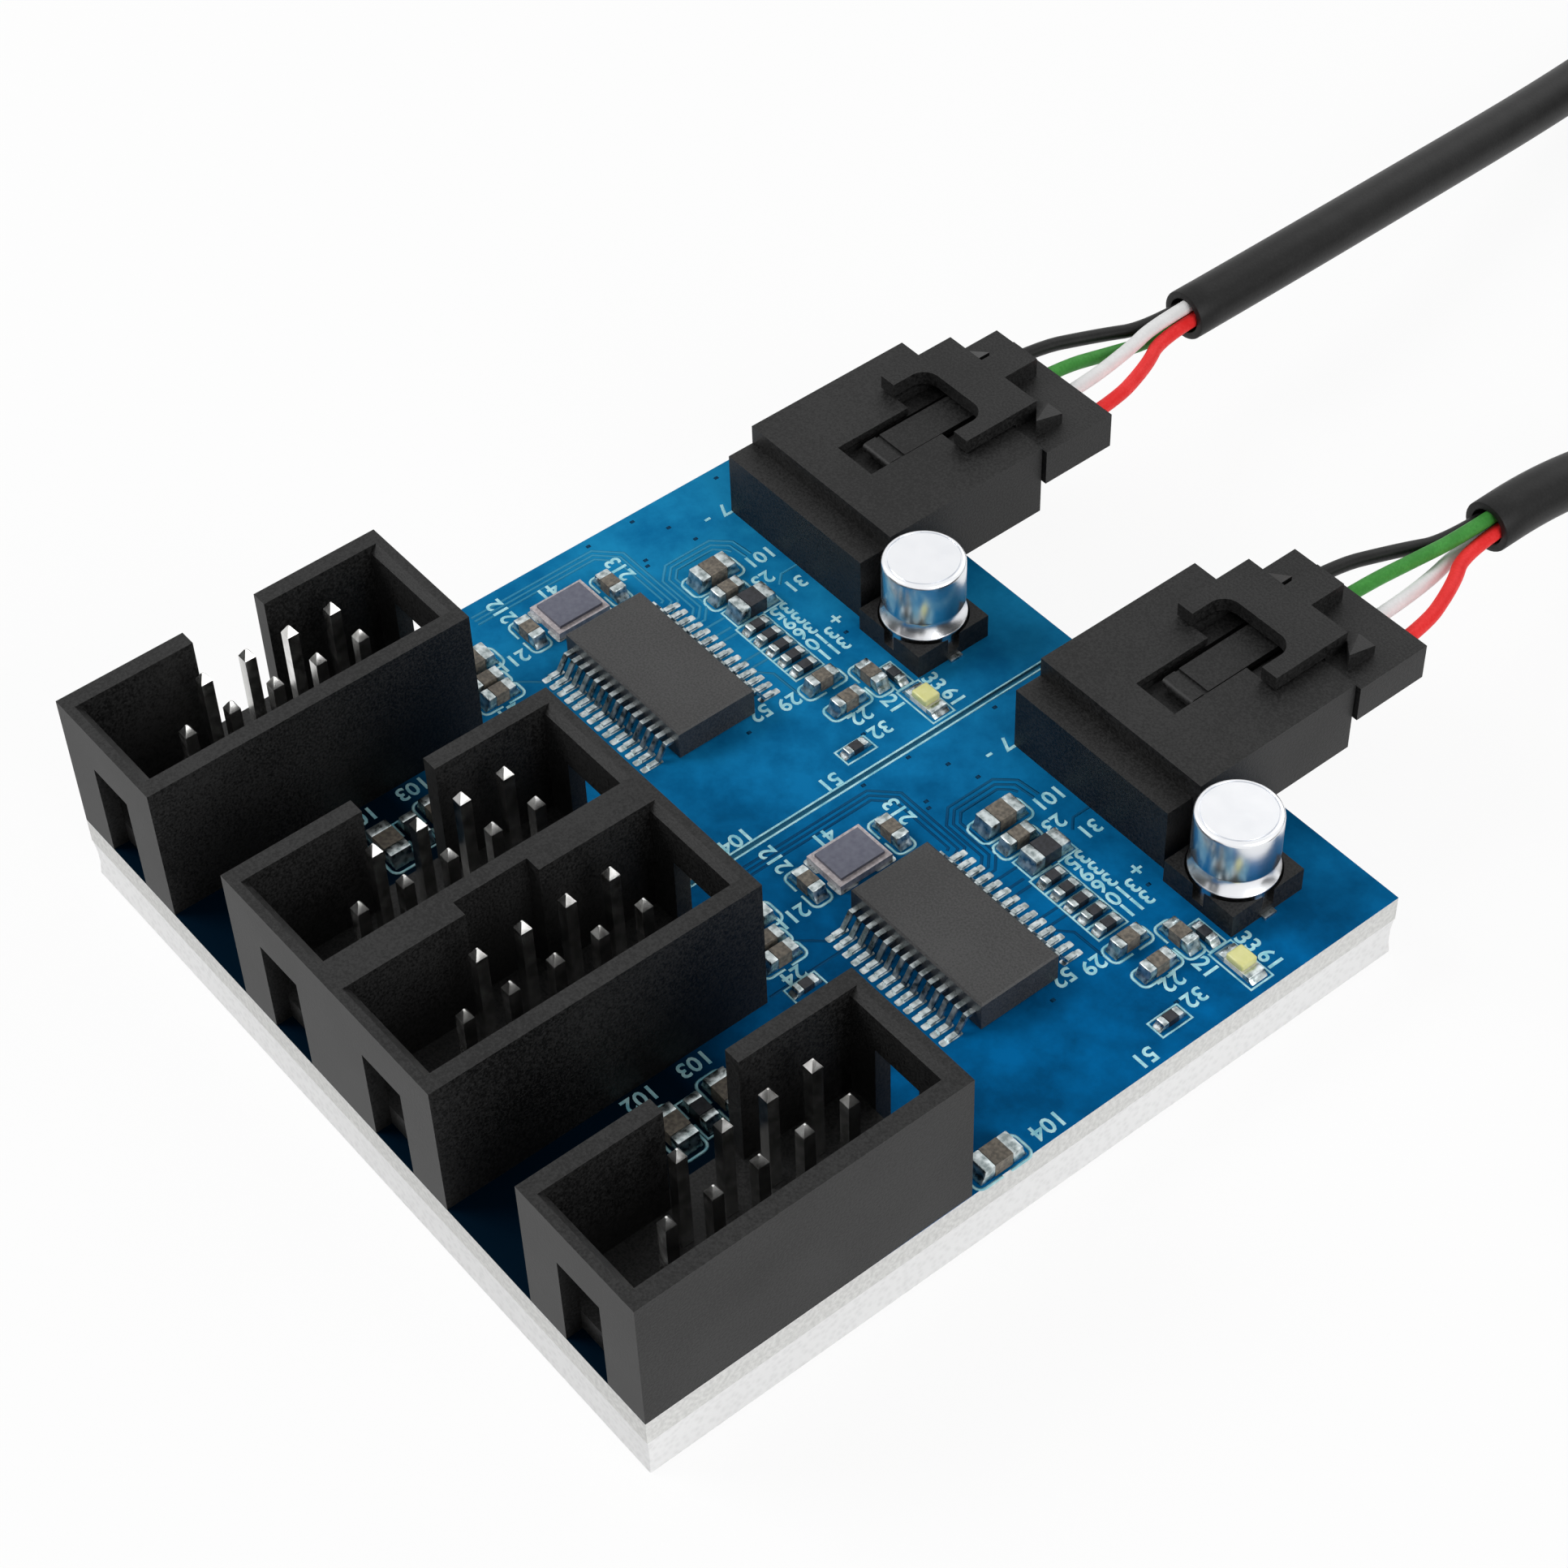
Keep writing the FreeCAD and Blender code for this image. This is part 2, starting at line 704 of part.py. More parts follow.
def make_chips():
    lead = make_chip_lead()
    for side, middle in SIDES.items():
        x = middle + chip_across
        y = header_rear + chip_along
        body = new_body(f"chip_{side}")
        block = pad(body, rectangle(sketch_on(body, "XY_Plane", 0), 0, 0, chip_length, chip_width),
                    chip_height)

        def on_top(point):
            return near(point.z, chip_height)

        dress(body, "Chamfer", block, on_top, "xy", chip_edge)
        place(body, x - chip_length / 2, y - chip_width / 2, board_top + chip_standoff)
        keep(body, f"hub_chip_{side}")
        places = []
        first = -lead_pitch * (CHIP_LEADS_PER_SIDE - 1) / 2
        for number in range(CHIP_LEADS_PER_SIDE):
            along = first + lead_pitch * number
            places.append(spot(x + along - lead_width / 2, y + chip_width / 2, board_top))
            places.append(spot(x + along + lead_width / 2, y - chip_width / 2, board_top, turn=180))
        copies(lead, places, f"chip_leads_{side}")


# Can capacitors: an aluminium can held between the corner posts of a square base
def make_can(side, x, y):
    body = new_body(f"can_{side}")
    neck_start = can_crimp_height + can_neck_height
    bulge = can_crimp_radius - can_radius
    profile = [(0, 0), (can_radius, 0), (can_crimp_radius, bulge),
               (can_crimp_radius, can_crimp_height - bulge), (can_radius, can_crimp_height),
               (can_neck_radius, can_crimp_height + can_neck_height / 2),
               (can_radius, neck_start), (can_radius, can_height), (0, can_height)]
    turned = body.newObject("PartDesign::Revolution", "Turned")
    sketch = polygon(sketch_on(body, "XZ_Plane", 0), profile)
    turned.Profile = sketch
    turned.ReferenceAxis = (sketch, ["V_Axis"])
    turned.Angle = 360.0
    doc.recompute()
    rim = [f"Edge{number}" for number, edge in enumerate(turned.Shape.Edges, start=1)
           if near(edge.BoundBox.ZMin, can_height) and near(edge.BoundBox.ZMax, can_height)
           and edge.BoundBox.XLength > can_radius.value]
    shoulder = body.newObject("PartDesign::Fillet", "Shoulder")
    shoulder.Base = (turned, rim)
    bind(shoulder, "Radius", can_shoulder)
    place(body, x, y, board_top + can_base_floor)
    keep(body, f"capacitor_can_{side}")


def make_can_base(side, x, y):
    body = new_body(f"can_base_{side}")
    square = can_base_square
    pad(body, rectangle(sketch_on(body, "XY_Plane", 0), 0, 0, square, square), can_base_height)
    cradle = sketch_on(body, "XY_Plane", can_base_height)
    ring = cradle.addGeometry(Part.Circle(Vector(square.value / 2, square.value / 2, 0), Vector(0, 0, 1),
                                          can_crimp_radius.value + can_fit.value))
    for kind, value in (("DistanceX", square / 2), ("DistanceY", square / 2)):
        index = cradle.addConstraint(Sketcher.Constraint(kind, -1, 1, ring, 3, value.value))
        cradle.setExpression(f"Constraints[{index}]", value.text)
    radius = can_crimp_radius + can_fit
    index = cradle.addConstraint(Sketcher.Constraint("Radius", ring, radius.value))
    cradle.setExpression(f"Constraints[{index}]", radius.text)
    pocket(body, cradle, can_base_height - can_base_floor)
    grooves = sketch_on(body, "XY_Plane", 0)
    for start in (as_size(0), square - tab_inset):
        rectangle(grooves, start, (square - tab_width) / 2, tab_inset, tab_width)
    pocket(body, grooves, tab_thickness, backwards=True)
    place(body, x - square / 2, y - square / 2, board_top)
    keep(body, f"capacitor_base_{side}")


def make_capacitors():
    for side, middle in SIDES.items():
        x = middle + can_across
        y = header_rear + can_along
        make_can(side, x, y)
        make_can_base(side, x, y)
        length = tab_inset + tab_outset
        half = can_base_square / 2
        tabs = []
        for start in (x - half - tab_outset, x + half - tab_inset):
            tabs.append(box(start, y - tab_width / 2, board_top, length, tab_width, tab_thickness))
        keep(group(tabs), f"capacitor_tabs_{side}")


# Crystals: a ceramic tray with a smaller metal lid
def make_crystals():
    for side, middle in SIDES.items():
        body = new_body(f"crystal_{side}")
        tray = rectangle(sketch_on(body, "XY_Plane", 0), 0, 0, crystal_width, crystal_length)
        pad(body, tray, crystal_base)
        lid = rectangle(sketch_on(body, "XY_Plane", crystal_base), crystal_rim, crystal_rim,
                        crystal_width - crystal_rim * 2, crystal_length - crystal_rim * 2)
        pad(body, lid, crystal_lid)
        place(body, middle + crystal_across - crystal_width / 2,
              header_rear + crystal_along - crystal_length / 2, board_top)
        keep(body, f"crystal_{side}")


# Chip resistors and capacitors of one half of the board
# Each has a kind, a size, the direction it lies in, and its middle: across, from the
# middle of the half, and along, from the headers' rear faces.
load_cap_rear_across = cell("load_cap_rear_across", -7.575)
load_cap_rear_along = cell("load_cap_rear_along", 11.49)
load_cap_front_across = cell("load_cap_front_across", -7.595)
load_cap_front_along = cell("load_cap_front_along", 6.12)
supply_cap_across = cell("supply_cap_across", -4.785)
supply_cap_along = cell("supply_cap_along", 16.26)
bypass_cap_across = cell("bypass_cap_across", -3.145)
bypass_cap_along = cell("bypass_cap_along", 15.98)
power_resistor_across = cell("power_resistor_across", -1.595)
power_resistor_along = cell("power_resistor_along", 16.4)
filter_cap_across = cell("filter_cap_across", 5.265)
filter_cap_along = cell("filter_cap_along", 15.59)
output_cap_across = cell("output_cap_across", 6.665)
output_cap_along = cell("output_cap_along", 17.73)
lamp_resistor_across = cell("lamp_resistor_across", 7.245)
lamp_resistor_along = cell("lamp_resistor_along", 18.8)
reset_cap_across = cell("reset_cap_across", 7.285)
reset_cap_along = cell("reset_cap_along", 15.64)
reset_resistor_across = cell("reset_resistor_across", 10.015)
reset_resistor_along = cell("reset_resistor_along", 13.89)
port_cap_across = cell("port_cap_across", -4.885)
port_cap_along = cell("port_cap_along", 2.15)
port_resistor_across = cell("port_resistor_across", -2.755)
port_resistor_along = cell("port_resistor_along", 1.99)
pair_cap_across = cell("pair_cap_across", -6.0)
pair_cap_along = cell("pair_cap_along", 2.15)
corner_cap_across = cell("corner_cap_across", -7.6)
corner_cap_along = cell("corner_cap_along", 2.3)
edge_cap_across = cell("edge_cap_across", 10.9)
edge_cap_along = cell("edge_cap_along", 2.06)
# The lane is the strip of board between the two headers of a half
lane_across = cell("lane_across", 0.05)
lane_cap_rear_along = cell("lane_cap_rear_along", -5.0)
lane_resistor_along = cell("lane_resistor_along", -6.6)
lane_cap_front_along = cell("lane_cap_front_along", -8.2)
CHIP_SIZES = {
    "small": (small_length, small_width, small_height),
    "medium": (medium_length, medium_width, medium_height),
    "large": (large_length, large_width, large_height),
}
CHIP_PARTS = [
    ("capacitor", "medium", "x", load_cap_rear_across, load_cap_rear_along),
    ("capacitor", "medium", "x", load_cap_front_across, load_cap_front_along),
    ("capacitor", "large", "y", supply_cap_across, supply_cap_along),
    ("capacitor", "medium", "y", bypass_cap_across, bypass_cap_along),
    ("resistor", "large", "y", power_resistor_across, power_resistor_along),
    ("capacitor", "medium", "y", filter_cap_across, filter_cap_along),
    ("capacitor", "medium", "x", output_cap_across, output_cap_along),
    ("resistor", "small", "x", lamp_resistor_across, lamp_resistor_along),
    ("capacitor", "medium", "y", reset_cap_across, reset_cap_along),
    ("resistor", "small", "y", reset_resistor_across, reset_resistor_along),
    ("capacitor", "medium", "y", port_cap_across, port_cap_along),
    ("resistor", "small", "y", port_resistor_across, port_resistor_along),
    ("capacitor", "medium", "y", pair_cap_across, pair_cap_along),
    ("capacitor", "large", "y", corner_cap_across, corner_cap_along),
    ("capacitor", "large", "y", edge_cap_across, edge_cap_along),
    ("capacitor", "large", "x", lane_across, lane_cap_rear_along),
    ("resistor", "medium", "x", lane_across, lane_resistor_along),
    ("capacitor", "large", "x", lane_across, lane_cap_front_along),
]
LADDER_RESISTORS = 5
ladder_across = cell("ladder_across", -0.2)
ladder_along = cell("ladder_along", 15.65)
ladder_pitch = cell("ladder_pitch", 0.995)
lamp_across = cell("lamp_across", 9.715)
lamp_along = cell("lamp_along", 18.86)


def chip_part(size, direction, x, y):
    """The body and the two soldered ends of one chip part, as boxes."""
    length, width, height = CHIP_SIZES[size]
    end = length * end_share
    core = length - end * 2
    spans = [(length / 2 * -1, end), (core / 2 * -1, core), (core / 2, end)]
    pieces = []
    for start, run in spans:
        if direction == "x":
            pieces.append(box(x + start, y - width / 2, board_top, run, width, height))
        else:
            pieces.append(box(x - width / 2, y + start, board_top, width, run, height))
    return pieces


def make_chip_parts():
    ladder = [("resistor", "small", "y", ladder_across + ladder_pitch * number, ladder_along)
              for number in range(LADDER_RESISTORS)]
    for side, middle in SIDES.items():
        bodies = {"resistor": [], "capacitor": []}
        ends = []
        for kind, size, direction, across, along in CHIP_PARTS + ladder:
            first, core, last = chip_part(size, direction, middle + across, header_rear + along)
            bodies[kind].append(core)
            ends.extend([first, last])
        keep(group(bodies["resistor"]), f"chip_resistors_{side}")
        keep(group(bodies["capacitor"]), f"chip_capacitors_{side}")
        keep(group(ends), f"solder_ends_{side}")


def make_lamps():
    for side, middle in SIDES.items():
        x = middle + lamp_across
        y = header_rear + lamp_along - lamp_width / 2
        keep(box(x - lamp_length / 2, y, board_top, lamp_length, lamp_width, lamp_base_height),
             f"lamp_base_{side}")
        keep(box(x - lamp_lens_length / 2, y, board_top + lamp_base_height, lamp_lens_length, lamp_width,
                 lamp_height - lamp_base_height), f"lamp_lens_{side}")


# Cables
# A tube follows straight runs joined by tangent arcs, each as large as its runs allow.
ARC_SHARE = 0.45


def tube_path(points):
    edges = []
    radii = []
    start = points[0]
    for before, corner, after in zip(points, points[1:], points[2:]):
        back = (before - corner).normalize()
        ahead = (after - corner).normalize()
        turn = math.pi - back.getAngle(ahead)
        reach = ARC_SHARE * min((before - corner).Length, (after - corner).Length)
        radius = reach / math.tan(turn / 2)
        inward = (back + ahead).normalize()
        middle = corner + inward * (radius / math.cos(turn / 2) - radius)
        leave = corner + back * reach
        join = corner + ahead * reach
        edges.append(Part.LineSegment(start, leave).toShape())
        edges.append(Part.Arc(leave, middle, join).toShape())
        radii.append(radius)
        start = join
    edges.append(Part.LineSegment(start, points[-1]).toShape())
    return Part.Wire(edges), radii


def tube(label, points, diameter):
    path, radii = tube_path(points)
    heading = (points[1] - points[0]).normalize()
    ring = Part.Wire([Part.makeCircle(diameter / 2, points[0], heading)])
    solid = path.makePipeShell([ring], True, False)
    share = solid.Volume / (math.pi * diameter ** 2 / 4 * path.Length)
    print(f"{label}: {path.Length:.1f} long, tightest arc {min(radii):.1f}, volume share {share:.4f}")
    return solid


def keep_shape(shape, label):
    feature = doc.addObject("Part::Feature", label)
    feature.Shape = shape
    return keep(feature, label)


# The wires of a plug from left to right. Each runs straight out of the plug for its own
# length, then to its place around the middle of the cable: right of it and above it.
WIRES = {
    "left": [("black", 1.0, -1, 0), ("green", 1.0, 0, -1), ("white", 1.0, 0, 1), ("red", 2.6, 1, 0)],
    "right": [("black", 1.0, -1, 0), ("green", 1.0, 0, 1), ("white", 1.0, 0, -1), ("red", 2.6, 1, 0)],
}
WIRE_GATHER = 2.4
# Routes from the socket's middle, the plug's rear face and the floor
LEAD_ROUTES = {
    "left": [(-1.1, 30.1, 4.9), (-3.0, 44.6, 2.8)],
    "right": [(0.3, 22.1, 4.8), (1.2, 29.1, 2.8)],
}
LEAD_STRAIGHT = {"left": 7.0, "right": 4.5}
COILS = {
    "left": {"tangent": -4.3, "middle": 74.0, "turns": 2.25},
    "right": {"tangent": 1.85, "middle": 48.1, "turns": 2.5},
}
# The tail's bends, and its end at the far plug, ahead of the end of the coil
TAIL_BENDS = (6.0, 20.0)
TAIL_END = 26.0


def cable_frame(side):
    """The point under the plug's rear face in line with the socket's middle."""
    left, front = socket_corner(SIDES[side])
    return left + socket_width / 2, front + socket_depth + plug_rear


def make_wires(side):
    x, y = cable_frame(side)
    left, front = socket_corner(SIDES[side])
    inside = front + terminal_start() + terminal_length
    level = board_top + contact_height
    cable_level = level - wire_fan_drop
    for (colour, straight, right, up), contact in zip(WIRES[side], contact_places()):
        end_x = x + wire_ring * right
        end_z = cable_level + wire_ring * up
        bow_x = (left + contact) * 0.45 + end_x * 0.55
        points = [
            vector(left + contact, inside, level),
            vector(left + contact, y + straight, level),
            vector(bow_x, y + (wire_fan + straight) / 2, (level + end_z * 2) / 3),
            vector(end_x, y + wire_fan - WIRE_GATHER, end_z),
            vector(end_x, y + wire_fan + cable_bore_depth, end_z),
        ]
        keep_shape(tube(f"{colour}_wire_{side}", points, wire_diameter.value), f"{colour}_wire_{side}")


def vector(x, y, z):
    return Vector(as_size(x).value, as_size(y).value, as_size(z).value)


def coil_facts(side):
    """The coil's middle, its bottom and its height."""
    x, y = cable_frame(side)
    coil = COILS[side]
    centre_x = x + coil["tangent"] + coil_radius
    centre_y = y + coil["middle"]
    height = cable_diameter * (coil["turns"] + 1)
    return centre_x, centre_y, tie_thickness, height


def make_lead(side):
    x, y = cable_frame(side)
    centre_x, centre_y, bottom, height = coil_facts(side)
    level = board_top + contact_height - wire_fan_drop
    floor_level = bottom + cable_diameter / 2
    tangent = centre_x - coil_radius
    points = [vector(x, y + wire_fan, level), vector(x, y + wire_fan + LEAD_STRAIGHT[side], level)]
    points += [vector(x + right, y + along, up) for right, along, up in LEAD_ROUTES[side]]
    last = points[-1]
    end = vector(tangent, centre_y - coil_stub, floor_level)
    points.append(Vector(end.x, (last.y + end.y) / 2, floor_level.value))
    points.append(end)
    solid = tube(f"cable_lead_{side}", points, cable_diameter.value)
    heading = (points[1] - points[0]).normalize()
    bore = Part.makeCylinder(cable_bore.value / 2, cable_bore_depth.value, points[0], heading)
    keep_shape(solid.cut(bore), f"cable_lead_{side}")


def stub(x, y, z, axis, turn):
    """A short straight end of the cable, from the coil outwards."""
    feature = cylinder(x, y, z, cable_diameter / 2, coil_stub, "Stub")
    feature.Placement.Rotation = FreeCAD.Rotation(axis, turn)
    return feature


def make_coil(side):
    x, y, bottom, height = coil_facts(side)
    radius = cable_diameter / 2
    ring = cut(cylinder(x, y, bottom, coil_radius + radius, height),
               cylinder(x, y, bottom, coil_radius - radius, height))
    entry = stub(x - coil_radius, y, bottom + radius, Vector(1, 0, 0), 90)
    top = bottom + height - radius
    if side == "left":
        leave = stub(x, y + coil_radius, top, Vector(0, 1, 0), 90)
    else:
        leave = stub(x + coil_radius, y, top, Vector(1, 0, 0), 90)
    coil = doc.addObject("Part::MultiFuse", "Coil")
    coil.Shapes = [ring, entry, leave]
    keep(coil, f"cable_coil_{side}")


def make_tie(side):
    """A band round the coil's turns, on the side away from the cable's ends."""
    x, y, bottom, height = coil_facts(side)
    inner = cable_diameter + tie_fit * 2
    outer = inner + tie_thickness * 2
    middle = y - coil_radius
    band = box(x - tie_width / 2, middle - outer / 2, bottom - tie_thickness, tie_width, outer,
               height + tie_thickness * 2)
    hole = box(x - tie_width / 2, middle - inner / 2, bottom, tie_width, inner, height)
    keep(cut(band, hole), f"coil_tie_{side}")


def tail_points(side):
    """The tail runs +X from the left coil and -Y from the right one."""
    x, y, bottom, height = coil_facts(side)
    top = bottom + height - cable_diameter / 2
    drop = top - far_plug_height / 2
    high_bend, low_bend = TAIL_BENDS
    steps = [(0, 0), (high_bend, 0), (low_bend, drop), (TAIL_END, drop)]
    points = []
    for step, down in steps:
        ahead = coil_stub + step
        if side == "left":
            points.append(vector(x + ahead, y + coil_radius, top - down))
        else:
            points.append(vector(x + coil_radius, y - ahead, top - down))
    return points


def make_far_plug(side):
    """A five-way plug on the cable's far end, lying flat, with its boot to the rear."""
    body = new_body(f"far_plug_{side}")
    outline = rectangle(sketch_on(body, "XY_Plane", 0), 0, far_plug_boot, far_plug_width, far_plug_length)
    block = pad(body, outline, far_plug_height)

    def on_long_edge(point):
        return near(point.z, far_plug_height)

    dress(body, "Chamfer", block, on_long_edge, "xy", far_plug_edge)
    boot = rectangle(sketch_on(body, "XY_Plane", 0), (far_plug_width - far_plug_boot_width) / 2, 0,
                     far_plug_boot_width, far_plug_boot)
    pad(body, boot, far_plug_height)
    mouths = sketch_on(body, "XZ_Plane", -(far_plug_boot + far_plug_length))
    first = far_plug_width / 2 - pin_pitch * (PINS_PER_ROW - 1) / 2
    for number in range(PINS_PER_ROW):
        rectangle(mouths, first + pin_pitch * number - far_plug_mouth / 2,
                  (far_plug_height - far_plug_mouth) / 2, far_plug_mouth, far_plug_mouth)
    pocket(body, mouths, far_plug_mouth_depth, backwards=True)
    end = tail_points(side)[-1]
    if side == "left":
        turn = -90
        corner = Vector(end.x, end.y + far_plug_width.value / 2, 0)
    else:
        turn = 180
        corner = Vector(end.x + far_plug_width.value / 2, end.y, 0)
    body.Placement = FreeCAD.Placement(corner, FreeCAD.Rotation(Vector(0, 0, 1), turn))
    keep(body, f"far_plug_{side}")


def make_cables():
    for side in SIDES:
        make_wires(side)
        make_lead(side)
        make_coil(side)
        make_tie(side)
        keep_shape(tube(f"cable_tail_{side}", tail_points(side), cable_diameter.value), f"cable_tail_{side}")
        make_far_plug(side)


def check_and_write():
    doc.recompute()
    for feature in doc.Objects:
        if "Invalid" in feature.State or "Error" in feature.State:
            raise RuntimeError(f"{feature.Name} failed: {feature.State}")
    for feature in sub_parts:
        if feature.Shape.isNull() or not feature.Shape.isValid():
            raise RuntimeError(f"{feature.Label} has no valid shape")
    os.makedirs("parts", exist_ok=True)
    for feature in sub_parts:
        feature.Shape.exportStep(f"parts/{feature.Label}.step")
    print(f"{len(sub_parts)} sub-parts written")


make_board_and_pad()
make_headers()
make_sockets()
make_plugs()
make_chips()
make_capacitors()
make_crystals()
make_chip_parts()
make_lamps()
make_cables()
check_and_write()
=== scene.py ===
# %% [markdown]
# # A small hub card, from CAD frame to finished picture
# The card is a square circuit board stuck down by a foam pad. Four open pin headers stand along
# its front edge, two like circuits fill the rest, and two cables are latched into the rear edge.
# The CAD model gives every hard piece its place and shape. This lesson adds what CAD leaves out:
# finishes, printed ink, copper traces, solder, soft wires and cables, light and a camera.

# %% Load the CAD model as a fixed frame
import math
from contextlib import contextmanager
import bpy
from mathutils import Matrix, Vector


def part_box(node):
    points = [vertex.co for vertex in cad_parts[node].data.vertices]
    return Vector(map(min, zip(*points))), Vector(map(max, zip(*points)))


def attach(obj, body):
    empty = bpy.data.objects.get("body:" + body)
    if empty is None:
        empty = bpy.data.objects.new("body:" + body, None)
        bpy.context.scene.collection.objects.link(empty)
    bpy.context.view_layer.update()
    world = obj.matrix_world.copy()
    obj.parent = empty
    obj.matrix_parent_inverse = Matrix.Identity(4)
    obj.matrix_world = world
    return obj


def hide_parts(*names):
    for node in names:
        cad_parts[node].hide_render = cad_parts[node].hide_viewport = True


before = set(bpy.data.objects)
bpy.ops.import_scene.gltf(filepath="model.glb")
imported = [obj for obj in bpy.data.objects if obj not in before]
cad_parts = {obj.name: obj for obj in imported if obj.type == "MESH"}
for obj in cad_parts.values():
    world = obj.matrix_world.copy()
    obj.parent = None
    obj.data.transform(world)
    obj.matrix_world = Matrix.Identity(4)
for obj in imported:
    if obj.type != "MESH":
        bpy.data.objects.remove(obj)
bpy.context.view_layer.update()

MM = 0.001


# %% [markdown]
# ## The camera
# A product picture of a small board is taken from high up with a fairly long lens, so that the
# edges stay nearly parallel. The camera's place, its directions and its lens were fitted to points
# of known size on the card, such as the pins, which stand 2.54 mm apart.

# %% Set up the camera
CAMERA_AT = Vector((91.505, -66.586, 131.516)) * MM
LOOKS_ALONG = Vector((-0.539419, 0.413099, -0.733741))
RIGHT_HAND = Vector((0.630413, 0.775801, -0.026677))
SENSOR = 36.0
PICTURE_PIXELS = 1932
FOCAL_PIXELS = 4216.105

bpy.ops.object.select_all(action="DESELECT")
bpy.ops.object.camera_add()
camera = bpy.context.object
camera.name = "photo_camera"
up = RIGHT_HAND.cross(LOOKS_ALONG)
turn = Matrix((RIGHT_HAND, up, -LOOKS_ALONG)).transposed()
camera.matrix_world = Matrix.Translation(CAMERA_AT) @ turn.to_4x4()
camera.data.sensor_width = SENSOR
camera.data.lens = SENSOR * FOCAL_PIXELS / PICTURE_PIXELS
camera.data.clip_start = 1 * MM
camera.data.clip_end = 10.0
bpy.context.scene.camera = camera
print("camera lens", round(camera.data.lens, 1), "mm")

# %% [markdown]
# ## Materials need a few small tools
# Colours are written as the hex values that a paint program shows, and one function turns them
# into the linear numbers that a shader works with. Another adds a node with its settings and links,
# so that a material below reads as a list of what it is made of. A node that is given as an input
# stands for its first output in use.

# %% Colour and node tools
def linear(colour):
    """A hex colour such as 4a9f45, as linear red, green, blue and alpha."""
    channels = [int(colour[start:start + 2], 16) / 255 for start in (0, 2, 4)]
    return [c / 12.92 if c <= 0.04045 else ((c + 0.055) / 1.055) ** 2.4 for c in channels] + [1.0]


def in_use(sockets, name=None):
    """The first socket in use, of this name if one is given: a Mix node has an A for each kind of value."""
    return next(socket for socket in sockets if socket.enabled and name in (None, socket.name))


def plug_in(node, inputs):
    """Set inputs, by name or number, to values, to hex colours, to outputs or to other nodes."""
    for name, value in inputs.items():
        socket = node.inputs[name] if isinstance(name, int) else in_use(node.inputs, name)
        if isinstance(value, str):
            value = linear(value)
        if isinstance(value, bpy.types.Node):
            value = in_use(value.outputs)
        if isinstance(value, bpy.types.NodeSocket):
            node.id_data.links.new(value, socket)
        else:
            socket.default_value = value


def add_node(tree, kind, inputs=None, **settings):
    """One shader node of a kind such as TexNoise, with its settings, and with its inputs plugged in."""
    node = tree.nodes.new("ShaderNode" + kind)
    for name, value in settings.items():
        setattr(node, name, value)
    plug_in(node, inputs or {})
    return node


print("808080 is", round(linear("808080")[0], 3), "in linear light")

# %% A material to start from
def new_material(name, colour, roughness, **sockets):
    """A material, its nodes, its shader, and the places on the object that its patterns read."""
    material = bpy.data.materials.new(name)
    material.use_nodes = True
    tree = material.node_tree
    shader = tree.nodes["Principled BSDF"]
    plug_in(shader, {"Base Color": colour, "Roughness": roughness})
    plug_in(shader, {socket.replace("_", " "): value for socket, value in sockets.items()})
    return material, tree, shader, add_node(tree, "TexCoord").outputs["Object"]


def per_mm(size):
    """The texture scale at which a pattern repeats about every so many millimetres."""
    return 1 / (size * MM)


print("a grain of 0.5 mm has scale", round(per_mm(0.5)))

# %% [markdown]
# ## Studio: floor, background and light
# The card is shown on plain white. The floor stays in the scene so that the card has something to
# stand on, and it keeps a faint shadow, but camera and mirror rays see it as nearly white paper.
# The main lamp stands high at the front left, a second one on the right lights the right-hand faces,
# and a weak one at the rear gives the tops a little sheen. All three are large, so shadows stay soft.

# %% Floor and background
FLOOR_METRES = 6.0
FLOOR_LEVEL = -0.1
PAPER_GLOW = 0.92
ROOM_LIGHT = 0.30


def looked_at(tree):
    """1 for the rays of the camera, of mirrors and of glass, and 0 for those that only gather light."""
    rays = add_node(tree, "LightPath").outputs
    seen = add_node(tree, "Math", {0: rays["Is Camera Ray"], 1: rays["Is Glossy Ray"]}, operation="MAXIMUM")
    return add_node(tree, "Math", {0: seen, 1: rays["Is Transmission Ray"]}, operation="MAXIMUM")


bpy.ops.object.select_all(action="DESELECT")
bpy.ops.mesh.primitive_plane_add(size=FLOOR_METRES, location=(0, 0, FLOOR_LEVEL * MM))
floor = bpy.context.object
floor.name = "studio_floor"
paper, tree, shader, _ = new_material("white_studio_paper", "f7f7f7", 0.9)
share = add_node(tree, "Math", {0: looked_at(tree), 1: PAPER_GLOW}, operation="MULTIPLY")
glow = add_node(tree, "Emission", {"Color": "ffffff", "Strength": 1.0})
blend = add_node(tree, "MixShader", {0: share, 1: shader, 2: glow})
plug_in(tree.nodes["Material Output"], {"Surface": blend})
floor.data.materials.append(paper)

world = bpy.data.worlds.new("studio_world")
world.use_nodes = True
bpy.context.scene.world = world
tree = world.node_tree
level = add_node(tree, "MapRange", {"Value": looked_at(tree), "To Min": ROOM_LIGHT, "To Max": 1.0})
plug_in(tree.nodes["Background"], {"Color": "ffffff", "Strength": level})
bpy.context.scene.view_settings.view_transform = "Standard"
print("floor and background are ready")

